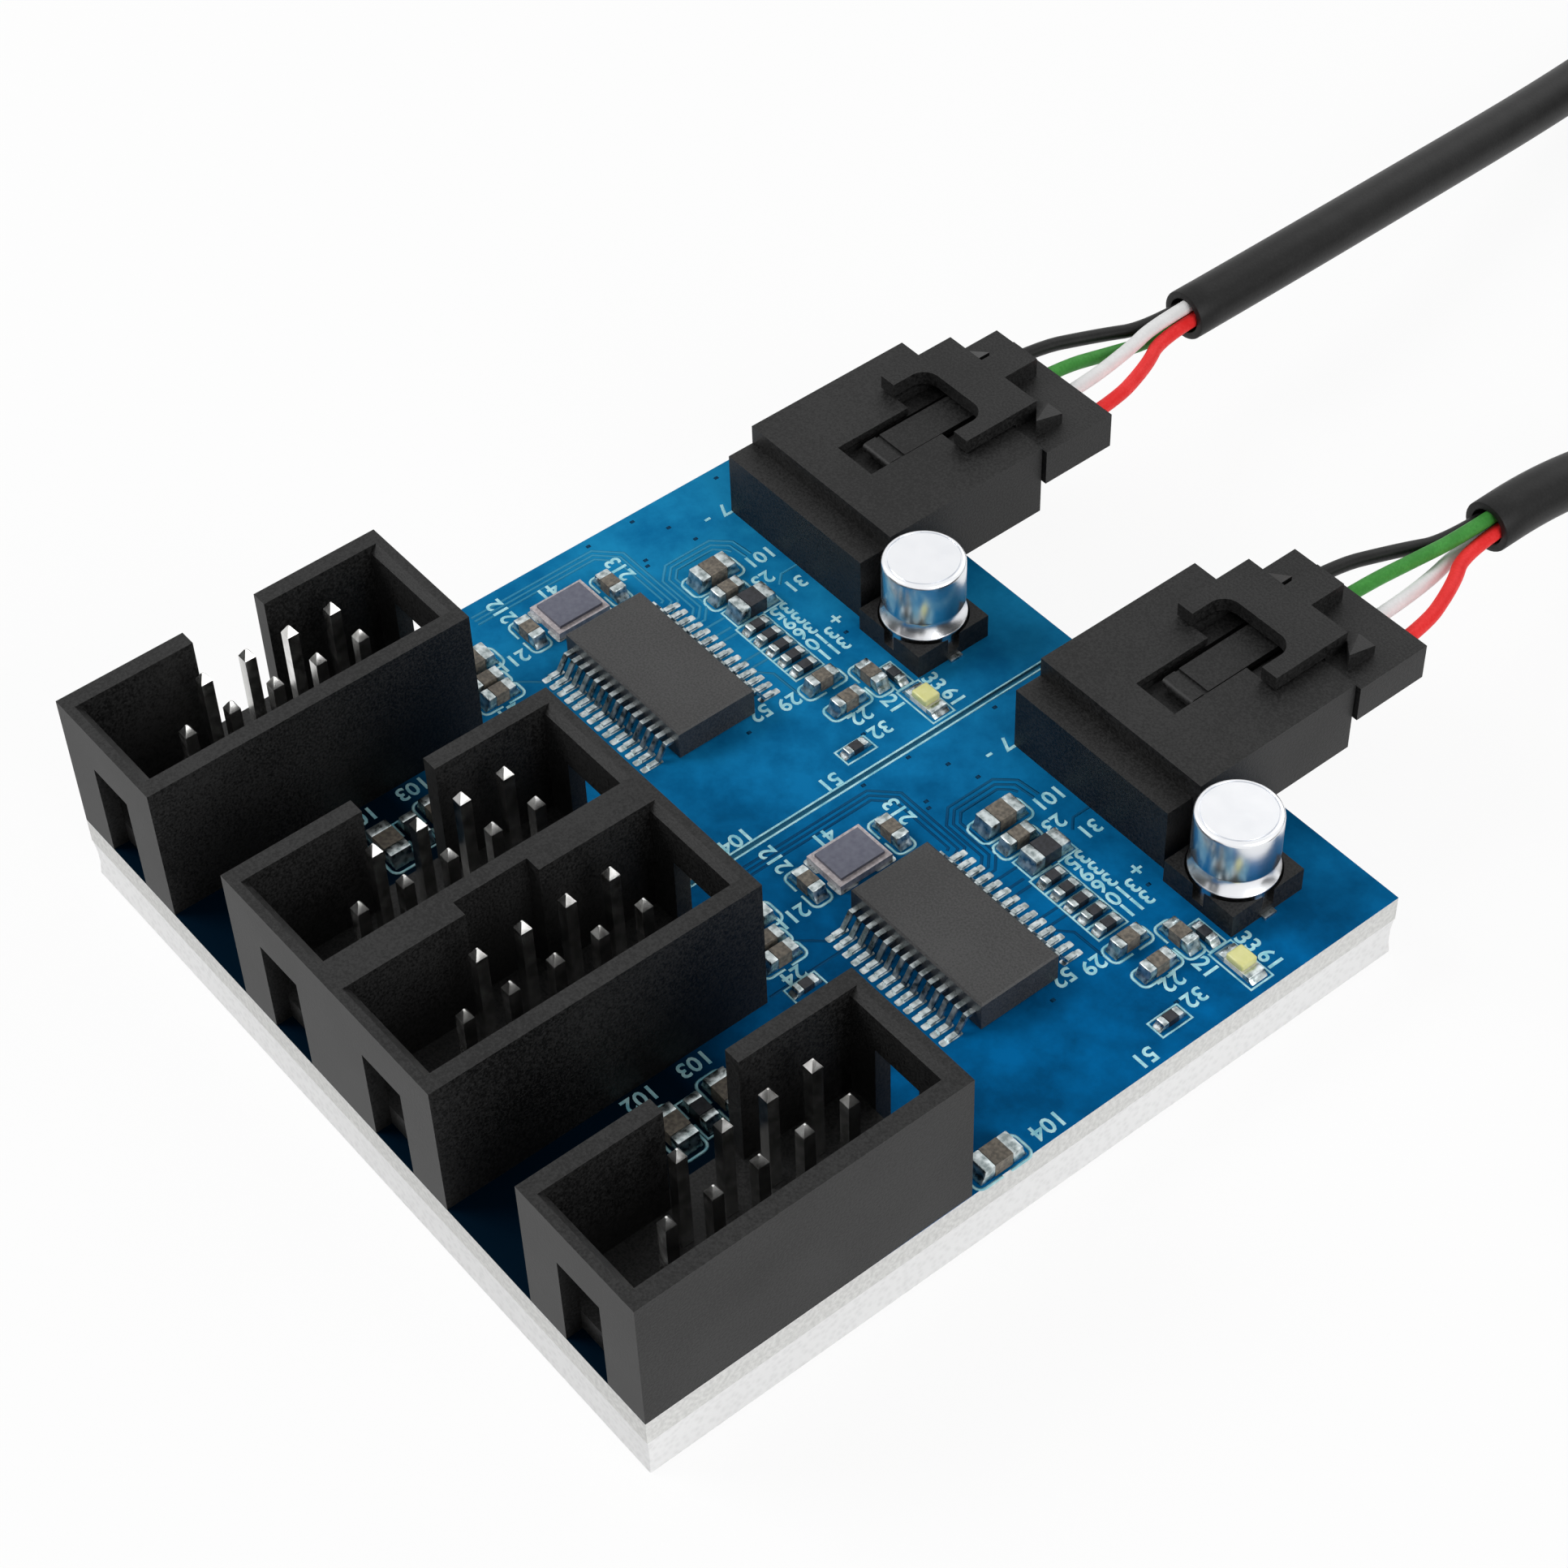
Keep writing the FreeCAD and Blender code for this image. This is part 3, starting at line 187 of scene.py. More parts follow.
# %% Lamps
# Name, place and size in metres, and power in watts
LAMPS = [
    ("front_left_lamp", (-0.45, -0.38, 0.52), 0.35, 3.0),
    ("right_lamp", (0.60, 0.05, 0.30), 0.40, 2.0),
    ("rear_lamp", (-0.10, 0.70, 0.50), 0.50, 0.8),
]
for name, place, size, power in LAMPS:
    bpy.ops.object.light_add(type="AREA", location=place)
    lamp = bpy.context.object
    lamp.name = name
    lamp.data.size = size
    lamp.data.energy = power
    lamp.rotation_euler = (-Vector(place)).to_track_quat("-Z", "Y").to_euler()
print(len(LAMPS), "lamps")

# %% [markdown]
# ## Modelling tools
# Each new piece starts as a primitive, is shaped in edit mode, and ends as a mesh whose points hold
# its place, with the object itself at the origin. The steps that every piece needs are kept here:
# choosing faces and edges by where they are, making a block, rounding, joining and finishing.

# %% Choosing and editing
# A face looks along an axis if its normal has more than this share along it
FACING = 0.9


def let_go():
    """Deselect everything, so that the next operator acts on the new piece alone."""
    bpy.ops.object.select_all(action="DESELECT")


def take(piece):
    """Make this the one selected object."""
    let_go()
    piece.select_set(True)
    bpy.context.view_layer.objects.active = piece


@contextmanager
def editing(piece, faces=None, edges=None):
    """Edit mode, with just the faces selected whose middle and normal pass a test, or edges by ends."""
    take(piece)
    bpy.ops.object.mode_set(mode="EDIT")
    bpy.ops.mesh.select_mode(type="FACE" if faces else "EDGE")
    bpy.ops.mesh.select_all(action="DESELECT")
    bpy.ops.object.mode_set(mode="OBJECT")
    if faces:
        for face in piece.data.polygons:
            face.select = faces(face.center, face.normal)
    else:
        points = piece.data.vertices
        for edge in piece.data.edges:
            edge.select = edges(*(points[number].co for number in edge.vertices))
    bpy.ops.object.mode_set(mode="EDIT")
    yield
    bpy.ops.object.mode_set(mode="OBJECT")


def pull(x, y, z):
    """Extrude what is selected by so many millimetres."""
    bpy.ops.mesh.extrude_region_move(TRANSFORM_OT_translate={"value": (x * MM, y * MM, z * MM)})


let_go()
print(len(bpy.context.selected_objects), "objects are selected")

# %% Making and finishing pieces
# Faces that meet at less than this many degrees are shaded as one smooth surface
SMOOTH_ANGLE = 40


def new_object(name, data):
    """A mesh or a curve as an object of the scene."""
    piece = bpy.data.objects.new(name, data)
    bpy.context.scene.collection.objects.link(piece)
    return piece


def settle(piece):
    """Move the object's place, turn and scale into its mesh."""
    take(piece)
    bpy.ops.object.transform_apply(location=True, rotation=True, scale=True)


def block(middle, size, turn=0.0):
    """A block to start from, round a middle and of a size in metres, turned about Z."""
    let_go()
    bpy.ops.mesh.primitive_cube_add(size=1.0, location=middle, rotation=(0, 0, math.radians(turn)))
    piece = bpy.context.object
    piece.scale = size
    settle(piece)
    return piece


def soften(piece, width, steps=2):
    """Round the piece's edges by so many millimetres and shade it smooth between them."""
    take(piece)
    rounding = piece.modifiers.new("rounding", "BEVEL")
    rounding.width = width * MM
    rounding.segments = steps
    rounding.limit_method = "ANGLE"
    rounding.angle_limit = math.radians(30)
    bpy.ops.object.modifier_apply(modifier=rounding.name)
    bpy.ops.object.shade_smooth_by_angle(angle=math.radians(SMOOTH_ANGLE))


def join(pieces):
    """One object made of all these."""
    let_go()
    for piece in pieces:
        piece.select_set(True)
    bpy.context.view_layer.objects.active = pieces[0]
    bpy.ops.object.join()
    return bpy.context.object


def finish_piece(piece, name, material, slot, *stands_for):
    """Name a finished piece, give it its material, and set it on the card."""
    piece.name = name
    piece.data.materials.clear()
    piece.data.materials.append(material)
    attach(piece, "root")
    if stands_for:
        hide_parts(*stands_for)
    print(name, "has", len(piece.data.polygons), "faces")


# %% [markdown]
# ## Black mouldings
# Headers, sockets, plugs and the capacitors' bases are moulded in glass-filled nylon. The tool leaves
# an even matt grain, and the glass shows as fine grey specks. The nylon itself is nearly black: its
# open faces look grey because they mirror the white room, and its hollows stay black. The real grain
# is finer than a pixel, so it is drawn at 0.13 mm. One noise gives the specks, one a slow drift.

# %% Glass-filled nylon
SIDES = ("left", "right")
HEADERS = range(1, 5)


def dress(material, slot, *nodes):
    """Give CAD nodes a finish. The slot is not used."""
    for name in nodes:
        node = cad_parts[name]
        node.data.materials.clear()
        node.data.materials.append(material)
    print(material.name, "on", len(nodes), "CAD nodes")


def filled_plastic(name, dark, light, grain, roughness, shine):
    """Moulded black plastic with mineral specks of about this size in millimetres."""
    material, tree, shader, places = new_material(name, dark, roughness, Specular_IOR_Level=shine)
    specks = add_node(tree, "TexNoise",
                      {"Vector": places, "Scale": per_mm(grain), "Detail": 3.0, "Roughness": 0.6})
    drift = add_node(tree, "TexNoise", {"Vector": places, "Scale": per_mm(6.0)})
    # The drift counts for about a third as much as the specks
    total = add_node(tree, "Math", {0: drift, 1: 0.35, 2: specks}, operation="MULTIPLY_ADD")
    share = add_node(tree, "MapRange", {"Value": total, "From Min": 0.54, "From Max": 0.80})
    tint = add_node(tree, "Mix", {"Factor": share, "A": dark, "B": light}, data_type="RGBA")
    gloss = add_node(tree, "MapRange",
                     {"Value": specks, "To Min": roughness - 0.12, "To Max": roughness + 0.12})
    bump = add_node(tree, "Bump", {"Strength": 0.5, "Distance": 0.03 * MM, "Height": specks})
    plug_in(shader, {"Base Color": tint, "Roughness": gloss, "Normal": bump})
    return material


nylon = filled_plastic("black_glass_filled_nylon", "050505", "262626", 0.13, 0.5, 0.28)
dress(nylon, "black_moulding", *[f"box_header_{number}" for number in HEADERS])
for side in SIDES:
    dress(nylon, "black_moulding", f"cable_socket_{side}", f"latch_plug_{side}", f"capacitor_base_{side}")

# %% [markdown]
# ## The far plugs
# Each cable ends in a five-way crimp housing of the same nylon. On top it has a window over each contact,
# where the contact's lance catches, and three grooves across its rear for the fingers. The solid of the
# plug already has the block, the boot and the mouths. So a copy of it is merged, the windows and grooves
# are cut from it with blocks, as a milling cutter would, and the edges are rounded.

# %% Crimp housings
CONTACTS = 5
HOUSING_PITCH = 2.54
HOUSING_TOP = 4.2
HOUSING_WIDTH = 13.2
HOUSING_EDGE = 0.1
# Size along the plug, across it and down, and how far along from the end of the cable
WINDOW = (3.2, 1.3, 1.2)
WINDOW_AT = 9.6
GROOVE = (0.7, HOUSING_WIDTH + 1.0, 0.35)
GROOVES_AT = (4.6, 5.9, 7.2)
# Where each cable ends, and which way its plug points, in degrees from +X
PLUG_ENDS = {"left": ((34.105, 122.92), 0), "right": ((43.005, 44.52), -90)}


def milling_block(side, along, across, size):
    """A block that stands over the plug's top and reaches down into it."""
    (x, y), turn = PLUG_ENDS[side]
    length, width, depth = size
    place = Matrix.Rotation(math.radians(turn), 3, "Z") @ Vector((along, across, 0.0))
    return block((place + Vector((x, y, HOUSING_TOP))) * MM, Vector((length, width, depth * 2)) * MM, turn)


def crimp_housing(side):
    """The plug's solid with windows and grip grooves cut into its top."""
    housing = new_object(f"crimp_housing_{side}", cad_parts[f"far_plug_{side}"].data.copy())
    with editing(housing, faces=lambda middle, normal: True):
        bpy.ops.mesh.remove_doubles(threshold=0.001 * MM)
        bpy.ops.mesh.dissolve_limited(angle_limit=math.radians(1))
    first = -(CONTACTS - 1) / 2
    windows = [HOUSING_PITCH * (first + number) for number in range(CONTACTS)]
    blocks = [milling_block(side, WINDOW_AT, across, WINDOW) for across in windows]
    blocks += [milling_block(side, along, 0.0, GROOVE) for along in GROOVES_AT]
    cutter = join(blocks)
    take(housing)
    cuts = housing.modifiers.new("cuts", "BOOLEAN")
    cuts.operation = "DIFFERENCE"
    cuts.object = cutter
    bpy.ops.object.modifier_apply(modifier=cuts.name)
    bpy.data.objects.remove(cutter)
    soften(housing, HOUSING_EDGE)
    finish_piece(housing, f"crimp_housing_{side}", nylon, "black_moulding", f"far_plug_{side}")
    return housing


housings = {side: crimp_housing(side) for side in SIDES}

# %% [markdown]
# ## The two cables
# Each cable is one round jacket of soft PVC, 3 mm thick, that sags from its plug to the table. The
# length that the picture does not show is wound into a tied coil. A cable could be swept as a mesh,
# but a curve with a round bevel keeps its line editable, so the route is a handful of control points
# of a smooth spline, and the coil is the same spline going round. PVC is matt with a slight sheen, and
# its extruded skin is faintly pebbled, so a fine noise drives its bump and, with a slow one, its colour.

# %% Soft PVC
def soft_pvc(name, dark, light, roughness):
    """Extruded PVC, nearly even in colour, with a fine pebbled skin, drawn at 0.15 mm so that it shows."""
    material, tree, shader, places = new_material(name, light, roughness, Specular_IOR_Level=0.2)
    pebble = add_node(tree, "TexNoise", {"Vector": places, "Scale": per_mm(0.15)})
    cloud = add_node(tree, "TexNoise", {"Vector": places, "Scale": per_mm(1.2)})
    both = add_node(tree, "Math", {0: pebble, 1: cloud}, operation="MULTIPLY")
    share = add_node(tree, "MapRange", {"Value": both, "From Min": 0.12, "From Max": 0.42})
    tint = add_node(tree, "Mix", {"Factor": share, "A": dark, "B": light}, data_type="RGBA")
    bump = add_node(tree, "Bump", {"Strength": 0.25, "Distance": 0.03 * MM, "Height": pebble})
    plug_in(shader, {"Base Color": tint, "Normal": bump})
    return material


jacket_pvc = soft_pvc("black_pvc_jacket", "131313", "202020", 0.45)
print(jacket_pvc.name)

# %% Cable routes
JACKET = 3.0
JACKET_WALL = 0.45
MOUTH = 1.5
COIL_RADIUS = 16.0
POINTS_PER_TURN = 16
# The part of a turn over which it climbs onto the one below
CLIMB_FROM = 0.78
CLIMB_TO = 0.95
CABLES = {
    "left": {
        "lead": [(-14.095, 44.22, 6.1), (-14.095, 51.22, 6.1), (-15.195, 63.02, 4.9), (-17.095, 77.52, 2.8),
                 (-18.395, 86.97, 1.9), (-18.395, 96.42, 1.9)],
        "coil": (-2.395, 106.92, 1.9), "turns": 2.25,
        "tail": [(8.105, 122.92, 7.9), (14.105, 122.92, 7.9), (28.105, 122.92, 2.1), (34.105, 122.92, 2.1)],
    },
    "right": {
        "lead": [(9.155, 44.22, 6.1), (9.155, 48.72, 6.1), (9.455, 55.02, 4.8), (10.355, 62.02, 2.8),
                 (11.005, 66.27, 1.9), (11.005, 70.52, 1.9)],
        "coil": (27.005, 81.02, 1.9), "turns": 2.5,
        "tail": [(43.005, 70.52, 7.9), (43.005, 64.52, 7.9), (43.005, 50.52, 2.1), (43.005, 44.52, 2.1)],
    },
}


def coil_points(middle, turns):
    """Points of the turns, clockwise from the left side. Each turn lies flat and climbs near its end."""
    x, y, z = middle
    points = []
    for number in range(round(turns * POINTS_PER_TURN) + 1):
        turn = number / POINTS_PER_TURN
        angle = math.pi - turn * 2 * math.pi
        climb = min(max((turn % 1 - CLIMB_FROM) / (CLIMB_TO - CLIMB_FROM), 0.0), 1.0)
        level = z + JACKET * (math.floor(turn) + climb * climb * (3 - 2 * climb))
        points.append((x + COIL_RADIUS * math.cos(angle), y + COIL_RADIUS * math.sin(angle), level))
    return points


for side in SIDES:
    print(side, "coil has", len(coil_points(CABLES[side]["coil"], CABLES[side]["turns"])), "points")

# %% Round cords along a smooth line
def smooth_cord(name, points, thickness, roundness=6):
    """A round cord along a smooth spline with these control points, in millimetres."""
    curve = bpy.data.curves.new(name, "CURVE")
    curve.dimensions = "3D"
    spline = curve.splines.new("NURBS")
    spline.points.add(len(points) - 1)
    for control, point in zip(spline.points, points):
        control.co = (*(Vector(point) * MM), 1.0)
        control.radius = thickness / 2 * MM
    spline.order_u = 3
    spline.use_endpoint_u = True
    spline.resolution_u = 8
    # A curve's box takes its points' radius as a length, so that radius holds the real half thickness.
    curve.bevel_depth = 1.0
    curve.bevel_resolution = roundness
    curve.use_fill_caps = True
    cord = new_object(name, curve)
    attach(cord, "root")
    return cord


def spline_length(points):
    """The length of the smooth line along a route, in metres, read from a bare copy of it."""
    bare = smooth_cord("length_gauge", points, 0)
    bare.data.bevel_depth = 0
    line = bpy.data.meshes.new_from_object(bare.evaluated_get(bpy.context.evaluated_depsgraph_get()))
    places = [point.co for point in line.vertices]
    length = sum((places[a] - places[b]).length for a, b in (edge.vertices for edge in line.edges))
    bpy.data.objects.remove(bare)
    return length


# %% [markdown]
# ## The coil ties
# Each put-away coil is held by a flat strip of black polyethylene, ribbed across so that it grips, drawn
# tight round the turns with its free end lapped over. It starts as a block as large as the strip's
# outside. Its long edges are rounded, its two ends are inset by the strip's thickness and bridged to make
# the opening, and the outer side is raised by one more thickness for the lap.

# %% Ribbed polyethylene strip
# The real ribs are finer. They are drawn this far apart so that they show.
RIB_SPACING = 3.77
# At a scale of 1, the bands of a wave texture lie this far apart
WAVE_SPACING = 2 * math.pi / 20
strip, tree, shader, places = new_material("ribbed_polyethylene_strip", "2a2a2a", 0.5,
                                           Specular_IOR_Level=0.3)
wave = add_node(tree, "TexWave", {"Vector": places, "Scale": WAVE_SPACING * per_mm(RIB_SPACING)},
                bands_direction="Z")
ribs = wave.outputs["Fac"]
tint = add_node(tree, "Mix", {"Factor": ribs, "A": "1f1f1f", "B": "343434"}, data_type="RGBA")
bump = add_node(tree, "Bump", {"Strength": 0.5, "Distance": 0.1 * MM, "Height": ribs})
plug_in(shader, {"Base Color": tint, "Normal": bump})
print(strip.name)

# %% Ties round the coils
STRIP_WIDTH = 3.0
STRIP_THICKNESS = 0.4
STRIP_FIT = 0.12
STRIP_BEND = 1.5
STRIP_EDGE = 0.06
TURNS_HELD = 2
# The spline runs inside its control points, by a share that depends on how many a turn has.
TURN_RADIUS = COIL_RADIUS * (3 + math.cos(2 * math.pi / POINTS_PER_TURN)) / 4


def lapped_tie(side):
    """A strip drawn round the turns on the coil's near side, with its end lapped over outside."""
    x, y, z = CABLES[side]["coil"]
    depth = JACKET + (STRIP_FIT + STRIP_THICKNESS) * 2
    height = JACKET * TURNS_HELD + STRIP_THICKNESS * 2
    level = z - JACKET / 2 - STRIP_THICKNESS + height / 2
    tie = block(Vector((x, y - TURN_RADIUS, level)) * MM, Vector((STRIP_WIDTH, depth, height)) * MM)
    with editing(tie, edges=lambda first, last: abs(first.x - last.x) > STRIP_WIDTH / 2 * MM):
        bpy.ops.mesh.bevel(offset=STRIP_BEND * MM, segments=8, affect="EDGES")
    with editing(tie, faces=lambda middle, normal: abs(normal.x) > FACING):
        bpy.ops.mesh.inset(thickness=STRIP_THICKNESS * MM)
        bpy.ops.mesh.bridge_edge_loops()
    outside = (y - TURN_RADIUS - depth / 2 + STRIP_THICKNESS / 8) * MM
    with editing(tie, faces=lambda middle, normal: normal.y < -FACING and middle.y < outside):
        pull(0, -STRIP_THICKNESS, 0)
    soften(tie, STRIP_EDGE)
    finish_piece(tie, f"lapped_tie_{side}", strip, "tie_strip", f"coil_tie_{side}")
    return tie


ties = {side: lapped_tie(side) for side in SIDES}

# %% [markdown]
# The stripped end of a jacket is a short open sleeve with a wall, and the four wires go into it. It
# starts as a cylinder; its front face is inset by the wall and pushed back, as one would drill it.

# %% Jackets and their open ends
MOUTH_SIDES = 36
MOUTH_FLOOR = 0.1
MOUTH_EDGE = 0.08
NEARLY = 0.01


def jacket_mouth(side, start):
    """The open end of a jacket, from the wires' side back to where the solid cord starts."""
    x, y, z = start
    let_go()
    bpy.ops.mesh.primitive_cylinder_add(
        vertices=MOUTH_SIDES, radius=JACKET / 2 * MM, depth=MOUTH * MM,
        location=Vector((x, y + MOUTH / 2, z)) * MM, rotation=(math.pi / 2, 0, 0))
    mouth = bpy.context.object
    settle(mouth)
    with editing(mouth, faces=lambda middle, normal: normal.y < -FACING):
        bpy.ops.mesh.inset(thickness=JACKET_WALL * MM)
        pull(0, MOUTH - MOUTH_FLOOR, 0)

    def on_rim(first, last):
        """Whether an edge goes round the front of the wall, inside or outside."""
        near, far = (math.hypot(point.x - x * MM, point.z - z * MM) for point in (first, last))
        return max(first.y, last.y) < (y + NEARLY) * MM and abs(near - far) < NEARLY * MM

    with editing(mouth, edges=on_rim):
        bpy.ops.mesh.bevel(offset=MOUTH_EDGE * MM, segments=2, affect="EDGES")
    bpy.ops.object.shade_smooth_by_angle(angle=math.radians(SMOOTH_ANGLE))
    finish_piece(mouth, f"jacket_mouth_{side}", jacket_pvc, "cable_jacket")
    return mouth


for side in SIDES:
    cable = CABLES[side]
    x, y, z = cable["lead"][0]
    lead = [(x, y + MOUTH, z)] + cable["lead"][1:]
    route = lead + coil_points(cable["coil"], cable["turns"]) + cable["tail"]
    jacket = smooth_cord(f"cable_{side}", route, JACKET, roundness=8)
    jacket.data.materials.append(jacket_pvc)
    mouth = jacket_mouth(side, cable["lead"][0])
    length = spline_length(route)
    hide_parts(f"cable_lead_{side}", f"cable_coil_{side}", f"cable_tail_{side}")
    print(f"cable_{side}:", round(length, 4), "m")

# %% [markdown]
# ## The wires
# Four thin insulated wires leave each plug side by side, bow inwards and gather into the jacket. They
# are the same kind of curve as the jackets, only thinner. Their insulation is PVC in four colours.

# %% Wires
WIRE = 0.8
WIRE_RING = 0.58
PLUG_REAR = 32.92
WIRE_START = 26.07
WIRE_LEVEL = 7.6
FAN_END = 44.22
GATHER = 2.4
# How much of its way across a wire has gone at the middle of the fan
BOWED = 0.55
FIRST_CONTACT = {"left": -16.55, "right": 6.70}
CONTACT_PITCH = 2.25
# Colour, straight run out of the plug, and place round the cable's middle: right of it and above it
WIRES = {
    "left": [("black", 1.0, -1, 0), ("green", 1.0, 0, -1), ("white", 1.0, 0, 1), ("red", 1.4, 1, 0)],
    "right": [("black", 1.0, -1, 0), ("green", 1.0, 0, 1), ("white", 1.0, 0, -1), ("red", 1.4, 1, 0)],
}
INSULATION = {
    "black": soft_pvc("black_pvc_insulation", "131313", "202020", 0.4),
    "green": soft_pvc("green_pvc_insulation", "3c8a38", "4ca047", 0.5),
    "white": soft_pvc("white_pvc_insulation", "f0f0f0", "fcfcfc", 0.5),
    "red": soft_pvc("red_pvc_insulation", "f22a2a", "ff3c3c", 0.5),
}
for side in SIDES:
    cable_x, _, cable_z = CABLES[side]["lead"][0]
    for number, (colour, straight, right, up) in enumerate(WIRES[side]):
        contact = FIRST_CONTACT[side] + CONTACT_PITCH * number
        end_x = cable_x + WIRE_RING * right
        end_z = cable_z + WIRE_RING * up
        middle_y = PLUG_REAR + (FAN_END - PLUG_REAR + straight) / 2
        route = [
            (contact, WIRE_START, WIRE_LEVEL),
            (contact, PLUG_REAR + straight, WIRE_LEVEL),
            ((1 - BOWED) * contact + BOWED * end_x, middle_y, (WIRE_LEVEL + 2 * end_z) / 3),
            (end_x, FAN_END - GATHER, end_z),
            (end_x, FAN_END + MOUTH, end_z),
        ]
        wire = smooth_cord(f"{colour}_wire_curve_{side}", route, WIRE, roundness=4)
        wire.data.materials.append(INSULATION[colour])
        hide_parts(f"{colour}_wire_{side}")
print(sum(len(wires) for wires in WIRES.values()), "wires")

# %% [markdown]
# ## The chips
# A chip's body is moulded epoxy filled with fine silica. It is greyer than the nylon, finer in grain and
# a little shinier, so it gets a material made the same way.

# %% Silica-filled epoxy
epoxy = filled_plastic("silica_filled_epoxy", "1c1c1c", "3a3a3a", 0.11, 0.5, 0.5)
dress(epoxy, "chip_moulding", *[f"hub_chip_{side}" for side in SIDES])

# %% [markdown]
# ## The circuit board
# The board is glass and epoxy laminate under a blue solder mask. The mask is only a skin on the top:
# the sawn edges and the score between the two halves show the pale laminate. One material can do both,
# because height tells them apart: only the top few hundredths of a millimetre are blue. The mask is
# cloudy where the copper under it comes and goes, so its blue drifts between lighter and darker tones.
# Painted light makes it lighter towards the rear left, and painted shade makes it darkest between the
# headers.

# %% Colours of the solder mask
# Painted light lightens the blue between these values of Y less X, and painted shade darkens it between the
# headers from one Y to the other
BLUE_PAINTED_LIGHT = (-6.0, 30.0)
LANE_PAINTED_SHADE = (-6.5, -11.0)
laminate, tree, shader, places = new_material("solder_masked_laminate", "0b5f96", 0.5,
                                              Specular_IOR_Level=0.02)
spots = add_node(tree, "SeparateXYZ", {0: places}).outputs
cloud = add_node(tree, "TexNoise",
                 {"Vector": places, "Scale": per_mm(3.5), "Detail": 6.0, "Roughness": 0.65})
cloudy = add_node(tree, "MapRange", {"Value": cloud, "From Min": 0.36, "From Max": 0.64})
near = add_node(tree, "Mix", {"Factor": cloudy, "A": "014f80", "B": "026aa8"}, data_type="RGBA")
# The far tones are painted light: lighter blues for the rear left, where the light falls
far = add_node(tree, "Mix", {"Factor": cloudy, "A": "0c6fa4", "B": "1c8cc0"}, data_type="RGBA")
slope = add_node(tree, "Math", {0: spots["Y"], 1: spots["X"]}, operation="SUBTRACT")
painted_light_share = add_node(tree, "MapRange",
                 {"Value": slope, "From Min": BLUE_PAINTED_LIGHT[0] * MM, "From Max": BLUE_PAINTED_LIGHT[1] * MM})
blue = add_node(tree, "Mix", {"Factor": painted_light_share, "A": near, "B": far}, data_type="RGBA")
# Painted shade: the mask turns near black between the headers, where they shade the board
painted_lane_shade = add_node(tree, "MapRange",
                {"Value": spots["Y"], "From Min": LANE_PAINTED_SHADE[0] * MM, "From Max": LANE_PAINTED_SHADE[1] * MM},
                interpolation_type="SMOOTHSTEP")
mask = add_node(tree, "Mix", {"Factor": painted_lane_shade, "A": blue, "B": "011626"}, data_type="RGBA")
print(laminate.name)

# %% Sawn laminate and the score
HALF_SCORE = 0.5
SCORE_REACH = 23.2
grain = add_node(tree, "TexNoise", {"Vector": places, "Scale": per_mm(0.25), "Detail": 2.0})
fibres = add_node(tree, "MapRange", {"Value": grain, "From Min": 0.35, "From Max": 0.65})
sawn = add_node(tree, "Mix", {"Factor": fibres, "A": "d6d6d4", "B": "e8e8e6"}, data_type="RGBA")
off_score = add_node(tree, "Math", {0: spots["X"]}, operation="ABSOLUTE")
off_middle = add_node(tree, "Math", {0: spots["Y"]}, operation="ABSOLUTE")
in_score = add_node(tree, "Math", {0: off_score, 1: HALF_SCORE * MM}, operation="LESS_THAN")
inside = add_node(tree, "Math", {0: off_middle, 1: SCORE_REACH * MM}, operation="LESS_THAN")
scored = add_node(tree, "Math", {0: in_score, 1: inside}, operation="MULTIPLY")
edge = add_node(tree, "Mix", {"Factor": scored, "A": sawn, "B": "3b86a8"}, data_type="RGBA")
print("score", 2 * HALF_SCORE, "mm wide")

# %% Mask above, laminate below
BOARD_TOP = 4.1
MASK = 0.04
on_top = add_node(tree, "Math", {0: spots["Z"], 1: (BOARD_TOP - MASK) * MM}, operation="GREATER_THAN")
colour = add_node(tree, "Mix", {"Factor": on_top, "A": edge, "B": mask}, data_type="RGBA")
gloss = add_node(tree, "MapRange", {"Value": on_top, "To Min": 0.8, "To Max": 0.5})
bump = add_node(tree, "Bump", {"Strength": 0.2, "Distance": 0.03 * MM, "Height": grain})
plug_in(shader, {"Base Color": colour, "Roughness": gloss, "Normal": bump})
dress(laminate, "board_laminate", "circuit_board")

# %% [markdown]
# ## The foam pad
# The pad is white polyethylene foam with glue on its underside. Cut foam shows its cells as small
# rounded pits, so a cell pattern of 0.35 mm drives both the bump and a slight painted shade that greys the
# pits.
# Foam springs back after the knife: its cut sides are drawn in by a hair at half height. So the pad
# starts as a block, its upright edges are divided, and the rings between them are drawn in.

# %% Polyethylene foam
foam, tree, shader, places = new_material("white_polyethylene_foam", "f1f1f1", 0.85, Specular_IOR_Level=0.1)
cells = add_node(tree, "TexVoronoi", {"Vector": places, "Scale": per_mm(0.35)})
# The greying of the pits is painted shade in the cells' hollows
depth = add_node(tree, "MapRange", {"Value": cells, "From Max": 0.6})
tint = add_node(tree, "Mix", {"Factor": depth, "A": "ebebeb", "B": "f7f7f7"}, data_type="RGBA")
bump = add_node(tree, "Bump", {"Strength": 0.15, "Distance": 0.05 * MM, "Height": cells})
plug_in(shader, {"Base Color": tint, "Normal": bump})
print(foam.name)

# %% Die-cut pad
DRAWN_IN = 0.08
FOAM_EDGE = 0.1
low, high = (Vector(corner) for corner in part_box("adhesive_pad"))
size = high - low


def at_half_height(first, last):
    """Whether an edge lies well clear of the pad's top and bottom."""
    return all(low.z + size.z / 5 < end.z < high.z - size.z / 5 for end in (first, last))


pad = block((low + high) / 2, size)
with editing(pad, edges=lambda first, last: abs(first.z - last.z) > size.z / 2):
    bpy.ops.mesh.subdivide(number_cuts=2)
with editing(pad, edges=at_half_height):
    bpy.ops.transform.resize(value=(1 - 2 * DRAWN_IN * MM / size.x, 1 - 2 * DRAWN_IN * MM / size.y, 1.0),
                             center_override=(low + high) / 2)
soften(pad, FOAM_EDGE)
finish_piece(pad, "foam_pad", foam, "pad_foam", "adhesive_pad")

